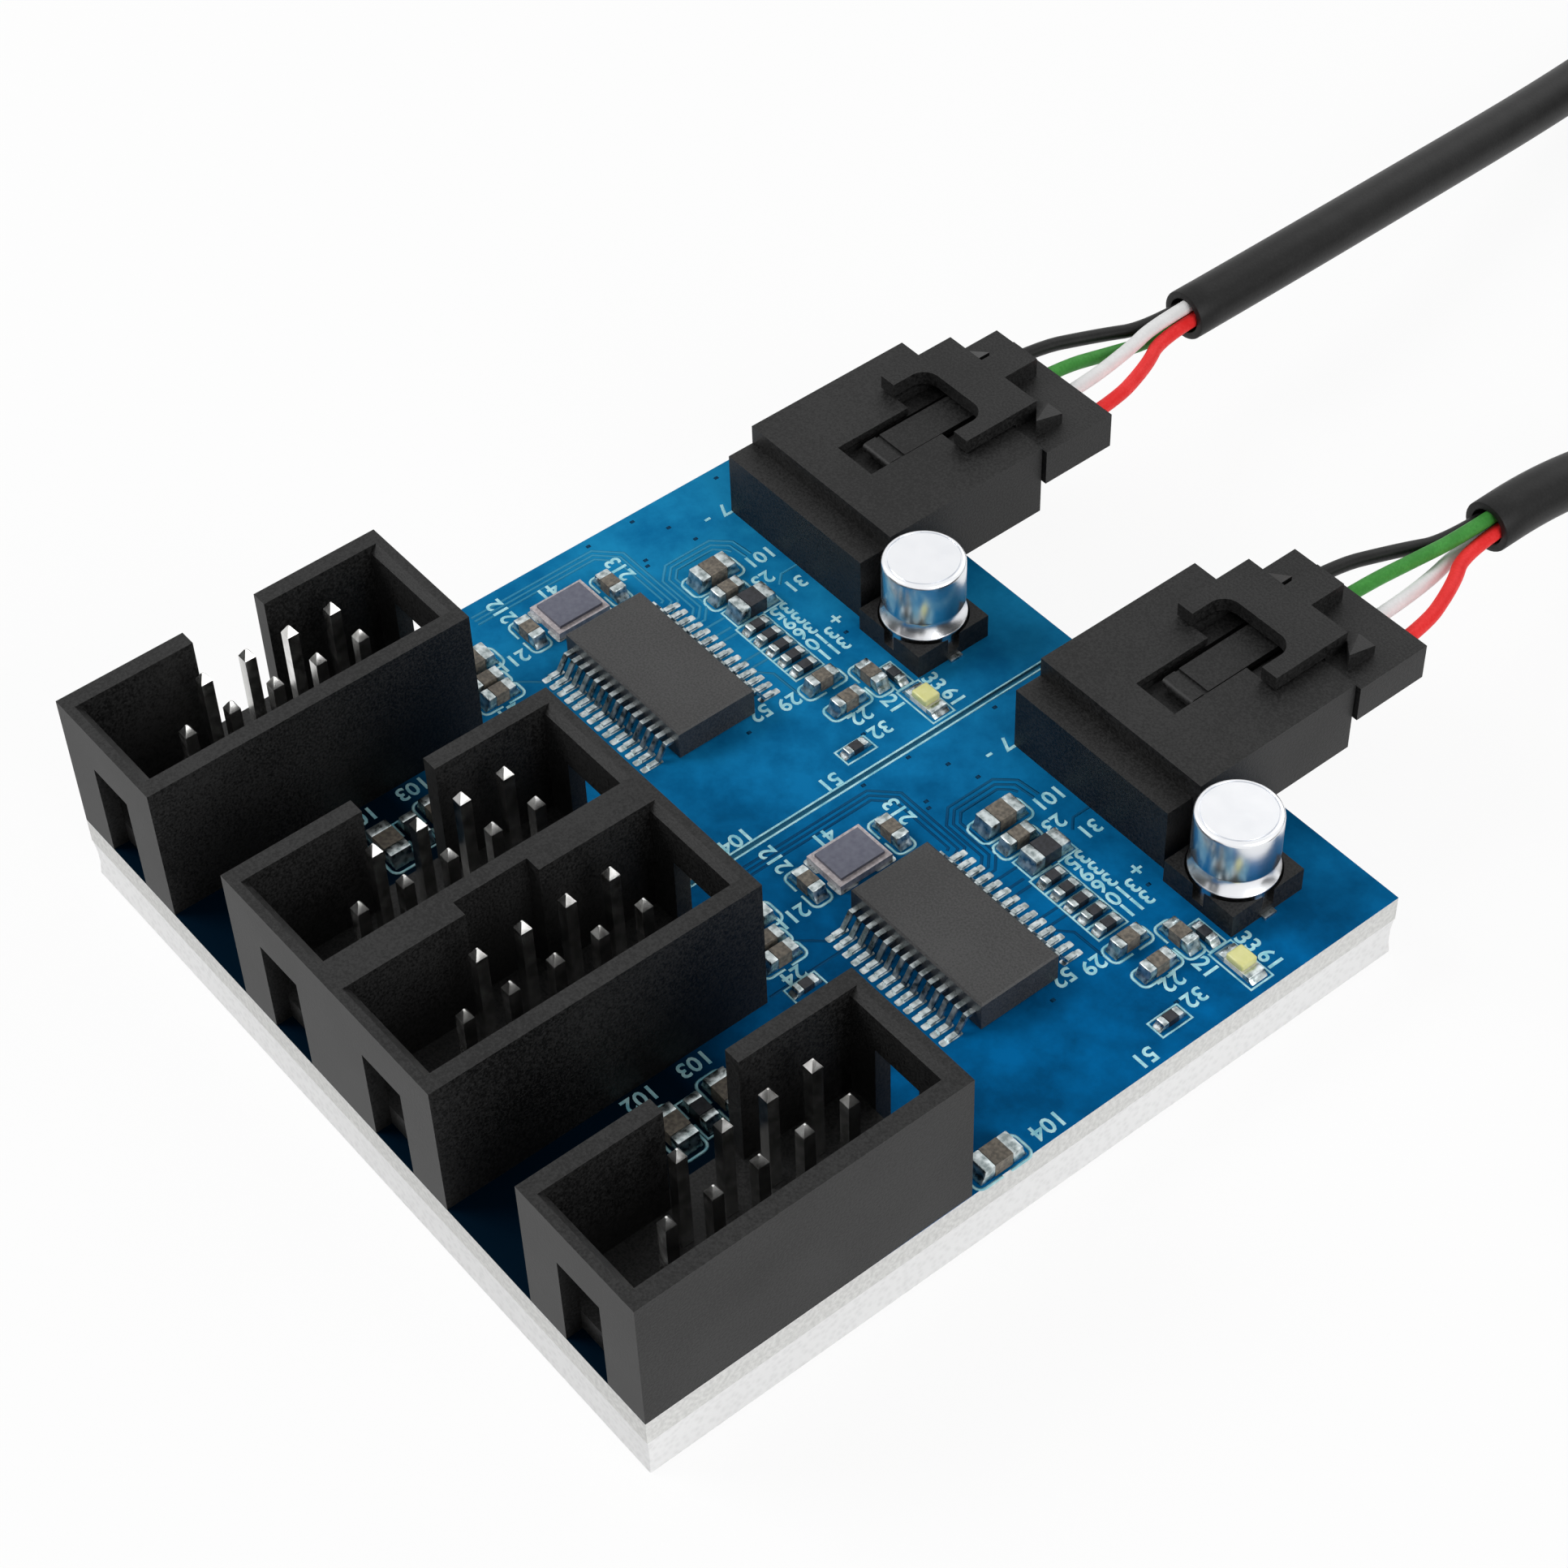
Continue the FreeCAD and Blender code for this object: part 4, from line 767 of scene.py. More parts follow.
# %% [markdown]
# ## Plated metal
# Pins, leads, terminals and tabs are brass or copper under tin. Tin is a soft grey metal: it mirrors,
# but blurred and unevenly, so the roughness drifts with a noise of a fraction of a millimetre. The pins
# are smooth; leads and soldered ends are duller and slightly lumpy.

# %% Tin plating
def tin_plate(name, dark, light, patch_size, roughness, spread, lumps):
    """Tin whose tone and shine drift in patches of this size in millimetres, with soft lumps."""
    material, tree, shader, places = new_material(name, light, roughness, Metallic=1.0)
    patch = add_node(tree, "TexNoise", {"Vector": places, "Scale": per_mm(patch_size), "Detail": 2.0})
    share = add_node(tree, "MapRange", {"Value": patch, "From Min": 0.35, "From Max": 0.65})
    tint = add_node(tree, "Mix", {"Factor": share, "A": dark, "B": light}, data_type="RGBA")
    gloss = add_node(tree, "MapRange",
                     {"Value": patch, "From Min": 0.3, "From Max": 0.7,
                      "To Min": roughness - spread, "To Max": roughness + spread})
    bump = add_node(tree, "Bump", {"Strength": lumps, "Distance": 0.04 * MM, "Height": patch})
    plug_in(shader, {"Base Color": tint, "Roughness": gloss, "Normal": bump})
    return material


pin_tin = tin_plate("bright_tinned_brass", "cdccc9", "e8e8e6", 0.7, 0.22, 0.05, 0.0)
lead_tin = tin_plate("dull_tinned_copper", "859091", "ccd4d5", 0.35, 0.32, 0.1, 0.5)
dress(pin_tin, "pin_plating", *[f"header_pins_{number}" for number in HEADERS])
for side in SIDES:
    dress(lead_tin, "tinned_metal", f"socket_pins_{side}", f"crimp_terminals_{side}", f"chip_leads_{side}",
          f"capacitor_tabs_{side}")

# %% [markdown]
# ## Crystals, chip resistors and chip capacitors
# A crystal is a pale metallised ceramic tray with a dark lid, which height tells apart. A chip resistor
# is black glass glaze on white ceramic, and a chip capacitor is a block of tan fired ceramic. They are
# one or two millimetres long, so a fine mottle is all that shows of their surface.

# %% Small ceramic parts
def fired_ceramic(name, dark, light, roughness):
    """Fired ceramic with a fine mottle of 0.2 mm."""
    material, tree, shader, places = new_material(name, light, roughness, Specular_IOR_Level=0.4)
    mottle = add_node(tree, "TexNoise", {"Vector": places, "Scale": per_mm(0.2), "Detail": 3.0})
    share = add_node(tree, "MapRange", {"Value": mottle, "From Min": 0.35, "From Max": 0.65})
    tint = add_node(tree, "Mix", {"Factor": share, "A": dark, "B": light}, data_type="RGBA")
    bump = add_node(tree, "Bump", {"Strength": 0.2, "Distance": 0.02 * MM, "Height": mottle})
    plug_in(shader, {"Base Color": tint, "Normal": bump})
    return material


glaze = fired_ceramic("black_resistor_glaze", "15171c", "2a2c33", 0.3)
ceramic = fired_ceramic("tan_fired_ceramic", "57524b", "7f776b", 0.5)
dress(glaze, "resistor_glaze", *[f"chip_resistors_{side}" for side in SIDES])
dress(ceramic, "capacitor_ceramic", *[f"chip_capacitors_{side}" for side in SIDES])

# %% Crystals with a dark lid
TRAY = 0.45
# The lid's colour starts this far above the tray
LID_START = 0.02
crystal_case = fired_ceramic("metallised_crystal_case", "b4abad", "d8d0d1", 0.4)
tree = crystal_case.node_tree
shader = tree.nodes["Principled BSDF"]
tray_tint = shader.inputs["Base Color"].links[0].from_socket
places = add_node(tree, "TexCoord").outputs["Object"]
height = add_node(tree, "SeparateXYZ", {0: places}).outputs["Z"]
mottle = add_node(tree, "TexNoise", {"Vector": places, "Scale": per_mm(0.3)})
lid = add_node(tree, "Mix", {"Factor": mottle, "A": "515264", "B": "767986"}, data_type="RGBA")
raised = add_node(tree, "Math", {0: height, 1: (BOARD_TOP + TRAY + LID_START) * MM},
                  operation="GREATER_THAN")
colour = add_node(tree, "Mix", {"Factor": raised, "A": tray_tint, "B": lid}, data_type="RGBA")
plug_in(shader, {"Base Color": colour})
dress(crystal_case, "crystal_case", *[f"crystal_{side}" for side in SIDES])

# %% [markdown]
# ## The can capacitors
# The can is drawn from thin aluminium, rolled in to a neck that grips the seal, flared to a rim below
# it, and rounded at the top. It is a turned shape, so its outline is drawn once, point by point, and
# spun round the axis. The sheet mirrors what stands round it, blurred by the rings of the drawing tool.

# %% Drawn aluminium
# The noise is squeezed along the can's height, which makes rings of it
SQUEEZE = 12.0
aluminium, tree, shader, places = new_material("drawn_aluminium", "edeef1", 0.24, Metallic=1.0)
smear = add_node(tree, "Mapping", {"Vector": places, "Scale": (1.0, 1.0, SQUEEZE)})
rings = add_node(tree, "TexNoise", {"Vector": smear, "Scale": per_mm(1.5), "Detail": 3.0})
tint = add_node(tree, "Mix", {"Factor": rings, "A": "e6e8ec", "B": "f4f5f7"}, data_type="RGBA")
gloss = add_node(tree, "MapRange", {"Value": rings, "To Min": 0.22, "To Max": 0.26})
plug_in(shader, {"Base Color": tint, "Roughness": gloss})
print(aluminium.name)

# %% Outline of a can
BASE_FLOOR = 0.5
CAN_TOP = 4.9
CAN_RADIUS = 2.23
SEAL_RADIUS = 2.1
RIM_RADIUS = 2.33
RIM_ROUND = 0.08
RIM_LEVEL = 1.16
RIM_TUCK = 0.02
NECK_RADIUS = 2.0
FLARE_START = 1.27
FLARE_HEIGHT = 0.75
FLARE_STEPS = 8
SHOULDER = 0.24
GROOVE_DEPTH = 0.09


def arc(radius_at, height_at, radius, first, last, steps):
    """Points of an arc in an outline, from one angle to another in degrees."""
    angles = [math.radians(first + (last - first) * step / steps) for step in range(steps + 1)]
    return [(radius_at + radius * math.cos(a), height_at + radius * math.sin(a)) for a in angles]


def can_outline():
    """The can's outline: seal, flared rim, neck, wall, shoulder, and a groove round the flat top."""
    seal = [(0, 0), (SEAL_RADIUS, 0), (SEAL_RADIUS, RIM_LEVEL - RIM_ROUND)]
    rim = arc(RIM_RADIUS - RIM_ROUND, RIM_LEVEL, RIM_ROUND, -90, 60, 4)
    flare = []
    for step in range(FLARE_STEPS + 1):
        rise = step / FLARE_STEPS
        spread = (RIM_RADIUS - RIM_TUCK - NECK_RADIUS) * (1 - rise) ** 1.5
        flare.append((NECK_RADIUS + spread, FLARE_START + FLARE_HEIGHT * rise))
    lip = [(NECK_RADIUS + 0.04, 2.10), (CAN_RADIUS - 0.09, 2.18), (CAN_RADIUS - 0.02, 2.21),
           (CAN_RADIUS, 2.28)]
    shoulder = arc(CAN_RADIUS - SHOULDER, CAN_TOP - SHOULDER, SHOULDER, 0, 90, 6)
    groove_floor = CAN_TOP - GROOVE_DEPTH
    groove = [(1.98, CAN_TOP), (1.96, groove_floor), (1.92, groove_floor), (1.89, CAN_TOP)]
    return seal + rim + flare + lip + shoulder + groove + [(0, CAN_TOP)]


outline = can_outline()
print("a can's outline has", len(outline), "points")

# %% Spun cans
CAN_PLACES = {"left": (-5.85, 17.65), "right": (17.4, 17.65)}
SPIN_STEPS = 64
CAN_SMOOTH_ANGLE = 50
for side in SIDES:
    x, y = CAN_PLACES[side]
    middle = Vector((x, y, BOARD_TOP + BASE_FLOOR)) * MM
    let_go()
    bpy.ops.mesh.primitive_plane_add(size=1 * MM, location=middle)
    can = bpy.context.object
    settle(can)
    bpy.ops.object.mode_set(mode="EDIT")
    bpy.ops.mesh.select_mode(type="VERT")
    bpy.ops.mesh.select_all(action="SELECT")
    bpy.ops.mesh.merge(type="CENTER")
    for (r0, z0), (r1, z1) in zip(outline, outline[1:]):
        pull(r1 - r0, 0, z1 - z0)
    bpy.ops.mesh.select_all(action="SELECT")
    bpy.ops.mesh.spin(steps=SPIN_STEPS, angle=2 * math.pi, center=middle, axis=(0, 0, 1))
    bpy.ops.mesh.select_all(action="SELECT")
    bpy.ops.mesh.remove_doubles(threshold=0.002 * MM)
    bpy.ops.mesh.normals_make_consistent(inside=False)
    bpy.ops.object.mode_set(mode="OBJECT")
    bpy.ops.object.shade_smooth_by_angle(angle=math.radians(CAN_SMOOTH_ANGLE))
    finish_piece(can, f"drawn_can_{side}", aluminium, "can_aluminium", f"capacitor_can_{side}")

# %% [markdown]
# ## Soldered ends
# Every chip part has a tinned cap at each end, and the solder runs from the cap down onto its pad. One
# cap is modelled for each size: a block whose lower outer edge is pulled outwards, then rounded. Copies
# of it go to both ends of every part.

# %% Chip parts on each half of the board
HEADER_REAR = -4.45
HALF_MIDDLE = {"left": -11.625, "right": 11.625}
# Length, width and height of each size of part
SIZES = {
    "small": (1.3, 0.56, 0.4), "medium": (1.75, 0.8, 0.75), "large": (2.3, 1.2, 0.85),
    "lamp": (2.1, 1.05, 0.33),
}
# Kind, size, the way it lies, and its middle: across from the half's middle, along from the headers
CHIP_PARTS = [
    ("capacitor", "medium", "x", -7.575, 11.49), ("capacitor", "medium", "x", -7.595, 6.12),
    ("capacitor", "large", "y", -4.785, 16.26), ("capacitor", "medium", "y", -3.145, 15.98),
    ("resistor", "large", "y", -1.595, 16.4), ("capacitor", "medium", "y", 5.265, 15.59),
    ("capacitor", "medium", "x", 6.665, 17.73), ("resistor", "small", "x", 7.245, 18.8),
    ("capacitor", "medium", "y", 7.285, 15.64), ("resistor", "small", "y", 10.015, 13.89),
    ("capacitor", "medium", "y", -4.885, 2.15), ("resistor", "small", "y", -2.755, 1.99),
    ("capacitor", "medium", "y", -6.0, 2.15), ("capacitor", "large", "y", -7.6, 2.3),
    ("capacitor", "large", "y", 10.9, 2.06), ("lamp", "lamp", "x", 9.715, 18.86),
    ("capacitor", "large", "x", 0.05, -5.0), ("resistor", "medium", "x", 0.05, -6.6),
    ("capacitor", "large", "x", 0.05, -8.2),
]
# A row of five small resistors, side by side like the rungs of a ladder
RUNGS = 5
LADDER_PITCH = 0.995
FIRST_RUNG = -0.2
LADDER_ALONG = 15.65
LADDER = [("ladder", "small", "y", FIRST_RUNG + LADDER_PITCH * number, LADDER_ALONG)
          for number in range(RUNGS)]


def on_half(side, across, along):
    """A place on the board, given from the middle of one half and from the headers' rear."""
    return HALF_MIDDLE[side] + across, HEADER_REAR + along


print(len(CHIP_PARTS + LADDER), "chip parts on each half")

# %% Soldered ends of the chip parts
END_SHARE = {"small": 0.27, "medium": 0.27, "large": 0.27, "lamp": 0.2}
CAP_PROUD = 0.02
CAP_EDGE = 0.07
SOLDER_RUN = 0.3


def soldered_end(size):
    """The cap and solder of one end, drawn for a part that lies along X, at its right-hand end."""
    length, width, height = SIZES[size]
    end = length * END_SHARE[size]
    cap = block(Vector((length / 2 - end / 2, 0, height / 2)) * MM,
                Vector((end, width + 2 * CAP_PROUD, height)) * MM)
    with editing(cap, faces=lambda middle, normal: normal.x > FACING):
        bpy.ops.mesh.subdivide(number_cuts=2)
    for point in cap.data.vertices:
        if point.co.x > (length / 2 - 0.001) * MM:
            drop = 1 - point.co.z / (height * MM)
            point.co.x += SOLDER_RUN * MM * drop ** 2
    soften(cap, CAP_EDGE)
    return cap


def copy_to(piece, place, turn=0.0):
    """A copy with its own mesh, turned about Z and then moved, in millimetres."""
    copy = new_object(piece.name, piece.data.copy())
    copy.data.transform(Matrix.Translation(Vector(place) * MM) @ Matrix.Rotation(math.radians(turn), 4, "Z"))
    return copy


caps = {size: soldered_end(size) for size in SIZES}
for side in SIDES:
    ends = []
    for _, size, way, across, along in CHIP_PARTS + LADDER:
        for turn in (0, 180):
            place = (*on_half(side, across, along), BOARD_TOP)
            ends.append(copy_to(caps[size], place, turn + (0 if way == "x" else 90)))
    finish_piece(join(ends), f"soldered_ends_{side}", lead_tin, "tinned_metal", f"solder_ends_{side}")
for cap in caps.values():
    bpy.data.objects.remove(cap)

# %% [markdown]
# ## The indicator lamps
# A lamp is a white base with a block of clear yellow resin cast on it. Resin is soft at its edges and
# lets some light through, so the block is rounded and its material scatters light below the surface.

# %% Lamps on the board
LENS_RIM = 0.2
LENS_EDGE = 0.12
resin, tree, shader, places = new_material("yellow_lamp_resin", "e6e49a", 0.25, Subsurface_Weight=0.3,
                                           Subsurface_Radius=(0.3 * MM, 0.28 * MM, 0.1 * MM))
haze = add_node(tree, "TexNoise", {"Vector": places, "Scale": per_mm(0.5)})
tint = add_node(tree, "Mix", {"Factor": haze, "A": "d8d780", "B": "f2f0b0"}, data_type="RGBA")
plug_in(shader, {"Base Color": tint})
lamp_base = fired_ceramic("white_lamp_ceramic", "cfcfc8", "e8e8e2", 0.5)
dress(lamp_base, "lamp_case", *[f"lamp_base_{side}" for side in SIDES])
for side in SIDES:
    low, high = (Vector(corner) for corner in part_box(f"lamp_lens_{side}"))
    lens = block((low + high) / 2, high - low)
    with editing(lens, faces=lambda middle, normal: normal.z > FACING):
        bpy.ops.mesh.inset(thickness=LENS_RIM * MM)
        bpy.ops.mesh.subdivide(number_cuts=2)
    soften(lens, LENS_EDGE, steps=3)
    finish_piece(lens, f"resin_lens_{side}", resin, "lamp_resin", f"lamp_lens_{side}")

# %% [markdown]
# ## Copper under the mask
# Traces show as slightly raised lines where the mask runs over the copper's edges. They are darker than
# the mask round them, and a painted highlight makes them lighter at the rear left, where the light catches
# their edges. Each is a row of straight strokes, so it is drawn as a curve with a small bevel, made a mesh
# and pressed flat.

# %% Strokes pressed onto the board
def strokes(name, lines, width, height):
    """Flat strokes on the board's top. Each line is a closed flag and its points, in millimetres."""
    curve = bpy.data.curves.new(name, "CURVE")
    curve.dimensions = "3D"
    curve.bevel_depth = width / 2 * MM
    curve.bevel_resolution = 0
    curve.use_fill_caps = True
    for closed, points in lines:
        spline = curve.splines.new("POLY")
        spline.points.add(len(points) - 1)
        for control, (x, y) in zip(spline.points, points):
            control.co = (x * MM, y * MM, 0.0, 1.0)
        spline.use_cyclic_u = closed
    take(new_object(name, curve))
    bpy.ops.object.convert(target="MESH")
    piece = bpy.context.object
    piece.scale.z = height / (width / 2)
    piece.location.z = BOARD_TOP * MM
    settle(piece)
    return piece


# %% Traces
TRACE_WIDTH = 0.17
TRACE_HEIGHT = 0.012
# Where the painted highlight lightens the traces, in Y less X
TRACES_PAINTED_HIGHLIGHT = (4.0, 30.0)
TRACES = [
    [(-4.0, 12.9), (-4.6, 13.74), (-9.46, 13.74), (-10.71, 12.5), (-10.71, 4.5)],
    [(-4.5, 12.9), (-4.75, 13.42), (-9.33, 13.42), (-10.39, 12.36), (-10.39, 4.5)],
    [(-5.0, 12.9), (-5.1, 13.1), (-9.2, 13.1), (-10.07, 12.23), (-10.07, 4.5)],
    [(-3.2, 12.9), (-3.2, 13.6), (-3.6, 14.0), (-6.3, 14.0), (-7.17, 14.86), (-7.17, 17.86), (-6.3, 18.8),
     (-4.9, 18.95)],
    [(-2.85, 12.9), (-2.85, 13.75), (-3.45, 14.33), (-6.15, 14.33), (-6.84, 15.0), (-6.84, 17.7),
     (-6.15, 18.47), (-4.9, 18.6)],
    [(-2.5, 12.9), (-2.5, 13.9), (-3.3, 14.66), (-6.0, 14.66), (-6.5, 15.14), (-6.5, 17.58), (-6.0, 18.1),
     (-5.7, 18.25)],
    [(-1.95, 12.9), (-1.95, 14.9)], [(-1.15, 12.9), (-1.15, 14.6)], [(-0.6, 12.9), (-0.6, 14.6)],
    [(1.3, 12.9), (1.3, 14.6)], [(1.95, 12.9), (1.95, 14.6)],
    [(2.6, 12.9), (2.3, 13.5), (3.0, 14.15), (5.0, 14.2)],
    [(-4.1, 4.9), (-4.9, 4.0), (-5.4, 3.4), (-5.4, 0.3)], [(-3.4, 4.9), (-3.4, 0.3)],
    [(-2.1, 4.9), (-2.1, 0.3)],
    [(6.4, 20.4), (7.6, 20.4), (8.2, 19.8)], [(-2.6, 20.6), (-2.6, 19.2), (-2.0, 18.6)],
]
trace_mask, tree, shader, places = new_material("solder_mask_over_copper", "064f82", 0.5,
                                                Specular_IOR_Level=0.06)
spots = add_node(tree, "SeparateXYZ", {0: places}).outputs
cloud = add_node(tree, "TexNoise", {"Vector": places, "Scale": per_mm(2.0)})
slope = add_node(tree, "Math", {0: spots["Y"], 1: spots["X"]}, operation="SUBTRACT")
painted_light_share = add_node(tree, "MapRange",
                 {"Value": slope, "From Min": TRACES_PAINTED_HIGHLIGHT[0] * MM, "From Max": TRACES_PAINTED_HIGHLIGHT[1] * MM})
dim = add_node(tree, "Mix", {"Factor": cloud, "A": "033f69", "B": "04527f"}, data_type="RGBA")
# The pale 3f9cc4 towards the rear left is a painted highlight on the traces' edges
tint = add_node(tree, "Mix", {"Factor": painted_light_share, "A": dim, "B": "3f9cc4"}, data_type="RGBA")
plug_in(shader, {"Base Color": tint})
lines = [(False, [on_half(side, *point) for point in trace]) for side in SIDES for trace in TRACES]
traces = strokes("traces", lines, TRACE_WIDTH, TRACE_HEIGHT)
finish_piece(traces, "copper_traces", trace_mask, "board_laminate")

# %% Plated holes
# A plated hole under mask is a dark dot, drawn as a stroke nearly as long as it is wide
HOLE_WIDTH = 0.26
HOLE_HEIGHT = 0.015
HALF_HOLE = 0.1
VIAS = [
    (-9.43, 16.83), (-7.77, 17.4), (-7.77, 14.1), (-11.1, 15.6), (-11.1, 12.6), (-10.9, 21.3),
    (5.5, 10.5), (9.4, 14.9), (3.1, 19.0), (-8.2, 14.3), (-1.2, 3.4), (2.4, 3.0),
]
hole_mask, tree, shader, places = new_material("solder_mask_in_holes", "0a2c44", 0.6,
                                               Specular_IOR_Level=0.06)
cloud = add_node(tree, "TexNoise", {"Vector": places, "Scale": per_mm(0.3)})
tint = add_node(tree, "Mix", {"Factor": cloud, "A": "083450", "B": "0c4468"}, data_type="RGBA")
plug_in(shader, {"Base Color": tint})
lines = []
for side in SIDES:
    for via in VIAS:
        x, y = on_half(side, *via)
        lines.append((False, [(x - HALF_HOLE, y), (x + HALF_HOLE, y)]))
holes = strokes("holes", lines, HOLE_WIDTH, HOLE_HEIGHT)
finish_piece(holes, "plated_holes", hole_mask, "board_laminate")

# %% [markdown]
# ## Pads
# Each chip lead stands on a tinned pad that is a little wider and longer than its foot, and each corner
# of a crystal on a larger one. A pad is a plane with its corners rounded, raised by its thickness. One of
# each kind is modelled; the rest are copies.

# %% Tinned pads under the chip leads and the crystals
# Width, length, thickness and corner radius
LEAD_PAD = (0.38, 1.3, 0.03, 0.08)
CORNER_PAD = (1.1, 1.3, 0.05, 0.15)
PAD_SUNK = 0.01
LEAD_PITCH = 0.65
LEADS_PER_SIDE = 14
CHIP_MIDDLE = (-0.125, 9.1)
FOOT_MIDDLE = 3.85
CRYSTAL_MIDDLE = (-7.615, 8.79)
# How far the corner pads stand from the crystal's middle, across and along
CORNERS_AT = (0.92, 1.2)


def flat_pad(width, length, thickness, corner):
    """One pad, lying at the origin."""
    let_go()
    bpy.ops.mesh.primitive_plane_add(size=1.0)
    pad = bpy.context.object
    pad.scale = (width * MM, length * MM, 1.0)
    settle(pad)
    with editing(pad, faces=lambda middle, normal: True):
        bpy.ops.mesh.bevel(offset=corner * MM, segments=2, affect="VERTICES")
        pull(0, 0, thickness)
    return pad


lead_feet = []
for number in range(LEADS_PER_SIDE):
    across = CHIP_MIDDLE[0] + LEAD_PITCH * (number - (LEADS_PER_SIDE - 1) / 2)
    lead_feet += [(across, CHIP_MIDDLE[1] + away) for away in (-FOOT_MIDDLE, FOOT_MIDDLE)]
crystal_corners = [(CRYSTAL_MIDDLE[0] + CORNERS_AT[0] * right, CRYSTAL_MIDDLE[1] + CORNERS_AT[1] * up)
                   for right in (-1, 1) for up in (-1, 1)]
pads = []
for sizes, feet in [(LEAD_PAD, lead_feet), (CORNER_PAD, crystal_corners)]:
    pad = flat_pad(*sizes)
    for side in SIDES:
        pads += [copy_to(pad, (*on_half(side, *foot), BOARD_TOP - PAD_SUNK)) for foot in feet]
    bpy.data.objects.remove(pad)
finish_piece(join(pads), "tinned_pads", lead_tin, "tinned_metal")

# %% [markdown]
# ## Printed outlines and marks
# The printed legend is pale ink: rounded outlines round the capacitors, square ones round the resistors
# and lamps, numbers beside the parts, and plus and minus signs. Outlines are strokes like the traces.
# The marks are text, made a mesh and laid on the board. The numbers are plain counts.

# %% Legend ink
ink, tree, shader, places = new_material("pale_legend_ink", "a8e6ef", 0.6, Specular_IOR_Level=0.3)
wear = add_node(tree, "TexNoise", {"Vector": places, "Scale": per_mm(0.6), "Detail": 4.0})
thin = add_node(tree, "MapRange", {"Value": wear, "From Min": 0.35, "From Max": 0.6})
tint = add_node(tree, "Mix", {"Factor": thin, "A": "8ad0e0", "B": "c2f2f8"}, data_type="RGBA")
plug_in(shader, {"Base Color": tint})
print(ink.name)

# %% Outlines
INK_WIDTH = 0.17
INK_HEIGHT = 0.02
# How far an outline stands out beyond its part, along and across it, its corner radius, and the gap
# that is left open in the middle of each long side
OUTLINE = {
    ("capacitor", "large"): (0.55, 0.21, 0.42, 0.5), ("capacitor", "medium"): (0.46, 0.19, 0.36, 0.4),
    ("resistor", "large"): (0.37, 0.1, 0.0, 0.4), ("resistor", "medium"): (0.4, 0.2, 0.0, 0.4),
    ("resistor", "small"): (0.3, 0.26, 0.0, 0.0), ("lamp", "lamp"): (0.4, 0.2, 0.0, 0.0),
}
# The ladder's box: its sides across, and its ends along
LADDER_BOX = (-0.82, 4.2, 14.68, 16.58)


def outline_strokes(middle, length, width, radius, gap, way):
    """A box with rounded corners, closed, or as two brackets where there is a gap."""
    corners = []
    for right, up, first in [(1, 1, 0), (-1, 1, 90), (-1, -1, 180), (1, -1, 270)]:
        at_x = right * (length / 2 - radius)
        at_y = up * (width / 2 - radius)
        corners.append([(at_x, at_y)] if radius == 0 else arc(at_x, at_y, radius, first, first + 90, 4))
    top_right, top_left, low_left, low_right = corners
    if gap == 0:
        shapes = [(True, top_right + top_left + low_left + low_right)]
    else:
        shapes = [
            (False, [(gap / 2, -width / 2)] + low_right + top_right + [(gap / 2, width / 2)]),
            (False, [(-gap / 2, width / 2)] + top_left + low_left + [(-gap / 2, -width / 2)]),
        ]
    placed = []
    for closed, points in shapes:
        if way == "y":
            points = [(-y, x) for x, y in points]
        placed.append((closed, [(middle[0] + x, middle[1] + y) for x, y in points]))
    return placed


lines = []
for side in SIDES:
    for kind, size, way, across, along in CHIP_PARTS:
        length, width, _ = SIZES[size]
        out_along, out_across, radius, gap = OUTLINE[kind, size]
        lines += outline_strokes(on_half(side, across, along), length + 2 * out_along, width + 2 * out_across,
                                 radius, gap, way)
    left, low = on_half(side, LADDER_BOX[0], LADDER_BOX[2])
    right, high = on_half(side, LADDER_BOX[1], LADDER_BOX[3])
    lines += outline_strokes(((left + right) / 2, (low + high) / 2), right - left, high - low, 0.0, 0.0, "x")
    for _, _, _, across, _ in LADDER[1:]:
        x = HALF_MIDDLE[side] + across - LADDER_PITCH / 2
        lines.append((False, [(x, low), (x, high)]))
outlines = strokes("outlines", lines, INK_WIDTH, INK_HEIGHT)
print(len(lines), "strokes of ink")

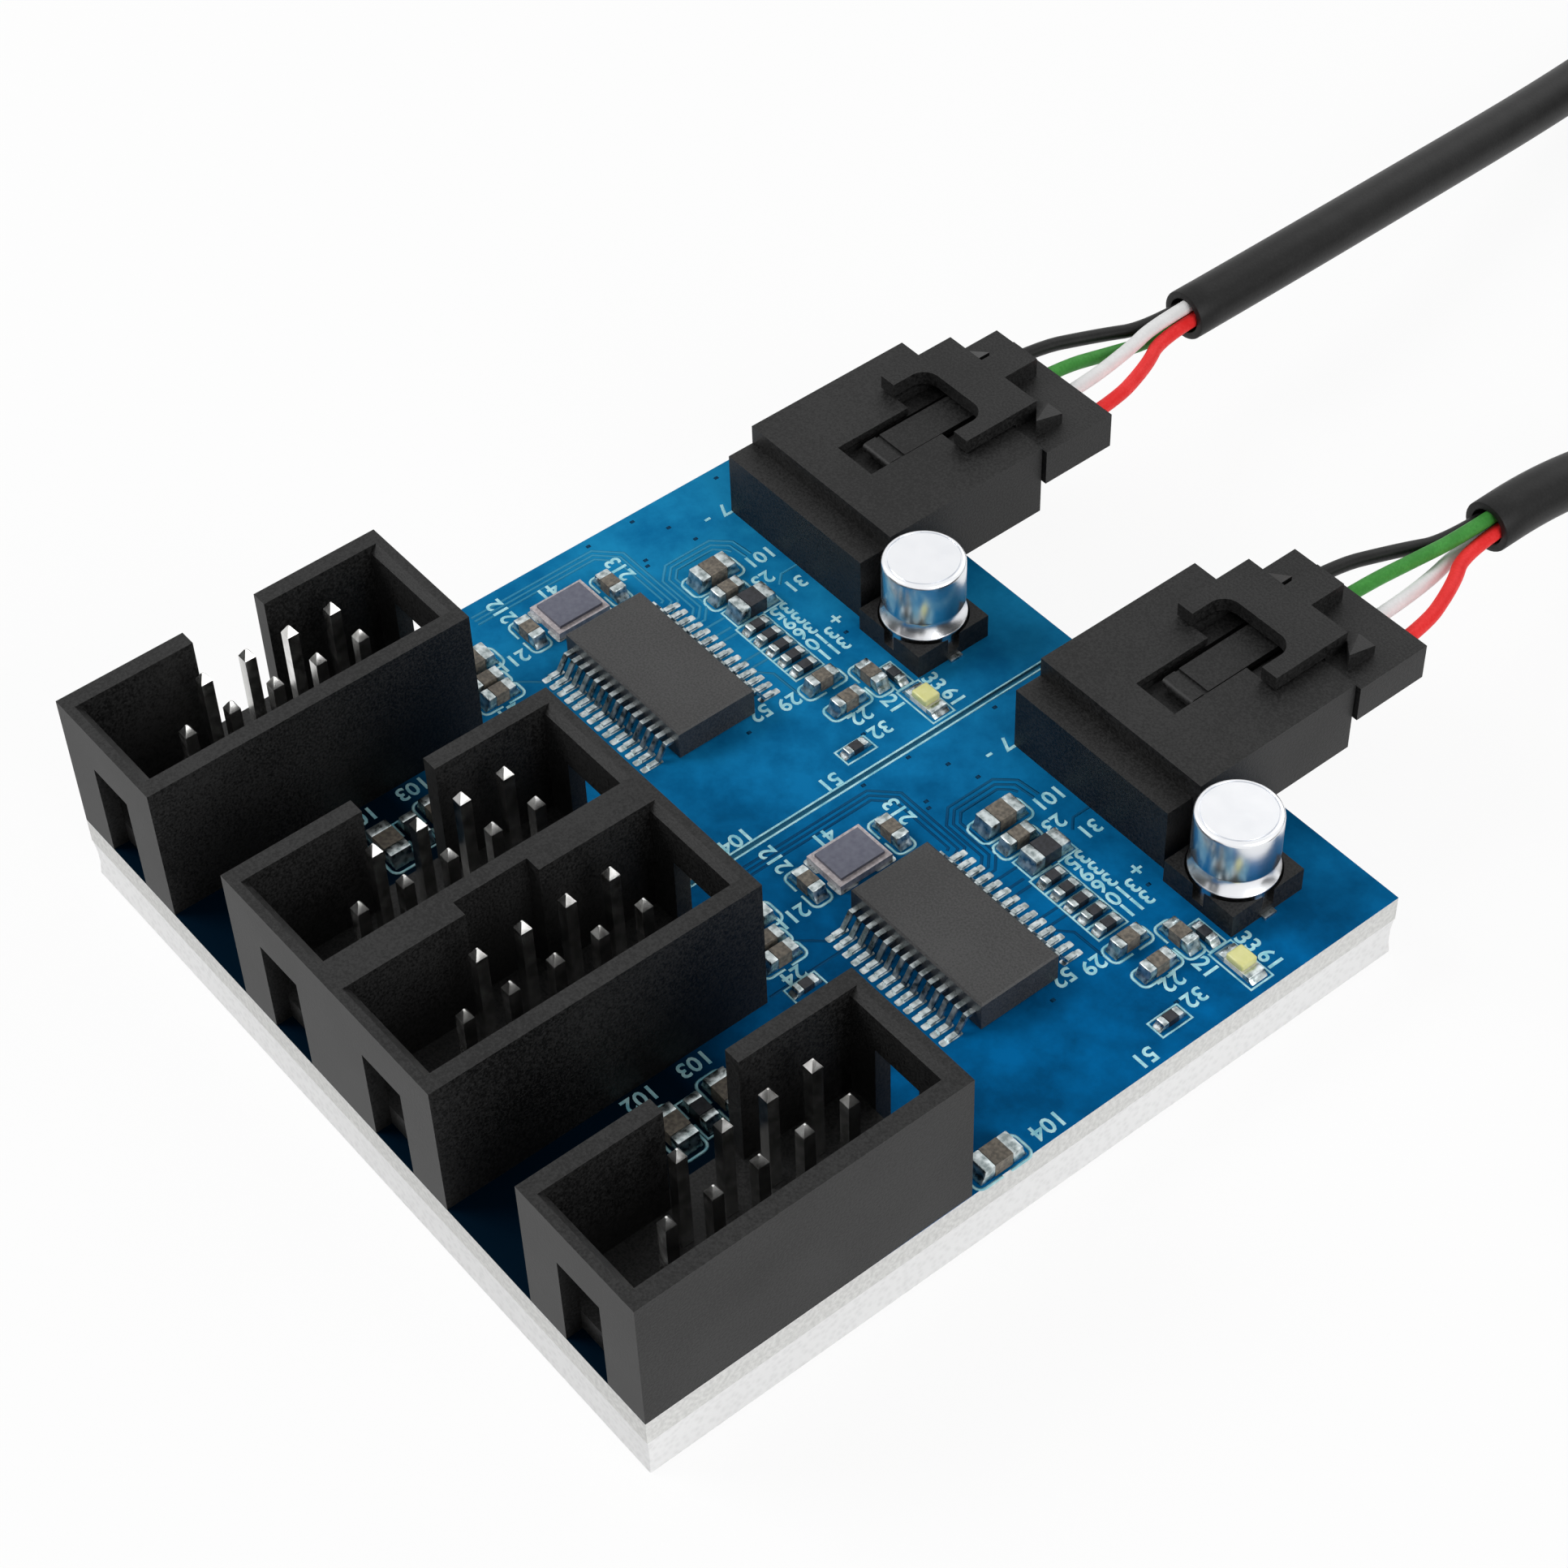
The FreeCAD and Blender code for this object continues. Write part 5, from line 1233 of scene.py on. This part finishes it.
# %% Lines beside the score
BOARD_REAR = 23.25
SCORE_INK = 0.13
SCORE_LINES_AT = (-0.2, 0.2)
SCORE_MARGIN = 0.1
SCORE_ENDS = (HEADER_REAR + SCORE_MARGIN, BOARD_REAR - SCORE_MARGIN)
score_lines = [(False, [(x, y) for y in SCORE_ENDS]) for x in SCORE_LINES_AT]
score = strokes("score_lines", score_lines, SCORE_INK, INK_HEIGHT)
print(len(score_lines), "lines beside the score")

# %% Numbers and signs
MARK_SIZE = 1.28
MARK_WEIGHT = 0.025
# The mark, its middle across and along, and the way it reads, turned from +X
MARKS = [
    ("101", -4.4, 19.15, -90), ("23", -2.95, 18.15, -90), ("31", -1.53, 19.3, -90), ("7", -8.6, 20.0, -90),
    ("-", -8.45, 18.85, -90), ("+", 2.0, 19.15, 0), ("35", -0.4, 17.4, -90), ("39", 0.58, 17.4, -90),
    ("36", 1.58, 17.4, -90), ("310", 2.6, 17.7, -90), ("311", 3.6, 17.7, -90), ("29", 5.1, 13.45, -90),
    ("52", 4.75, 11.8, -90), ("22", 8.3, 15.6, -90), ("21", 8.75, 17.45, 0), ("32", 9.7, 15.75, -90),
    ("33", 8.9, 20.1, 0), ("61", 10.4, 20.15, 0), ("213", -8.6, 12.86, 180), ("41", -9.68, 8.8, -90),
    ("212", -10.1, 6.05, 180), ("211", -6.7, 4.3, -90), ("24", -3.75, 2.0, -90), ("51", 10.85, 11.45, -90),
    ("104", 10.85, 5.3, -90), ("102", -2.6, -8.2, -90), ("103", -2.6, -5.0, -90),
]
marks = [outlines, score]
for side in SIDES:
    for text, across, along, turn in MARKS:
        let_go()
        bpy.ops.object.text_add(rotation=(0, 0, math.radians(turn)))
        mark = bpy.context.object
        mark.data.body = text
        mark.data.size = MARK_SIZE * MM
        mark.data.align_x = "CENTER"
        mark.data.align_y = "CENTER"
        mark.data.offset = MARK_WEIGHT * MM
        mark.data.extrude = INK_HEIGHT * MM
        mark.data.resolution_u = 3
        bpy.ops.object.convert(target="MESH")
        mark = bpy.context.object
        mark.location = Vector((*on_half(side, across, along), BOARD_TOP)) * MM
        settle(mark)
        marks.append(mark)
finish_piece(join(marks), "printed_legend", ink, "board_laminate")
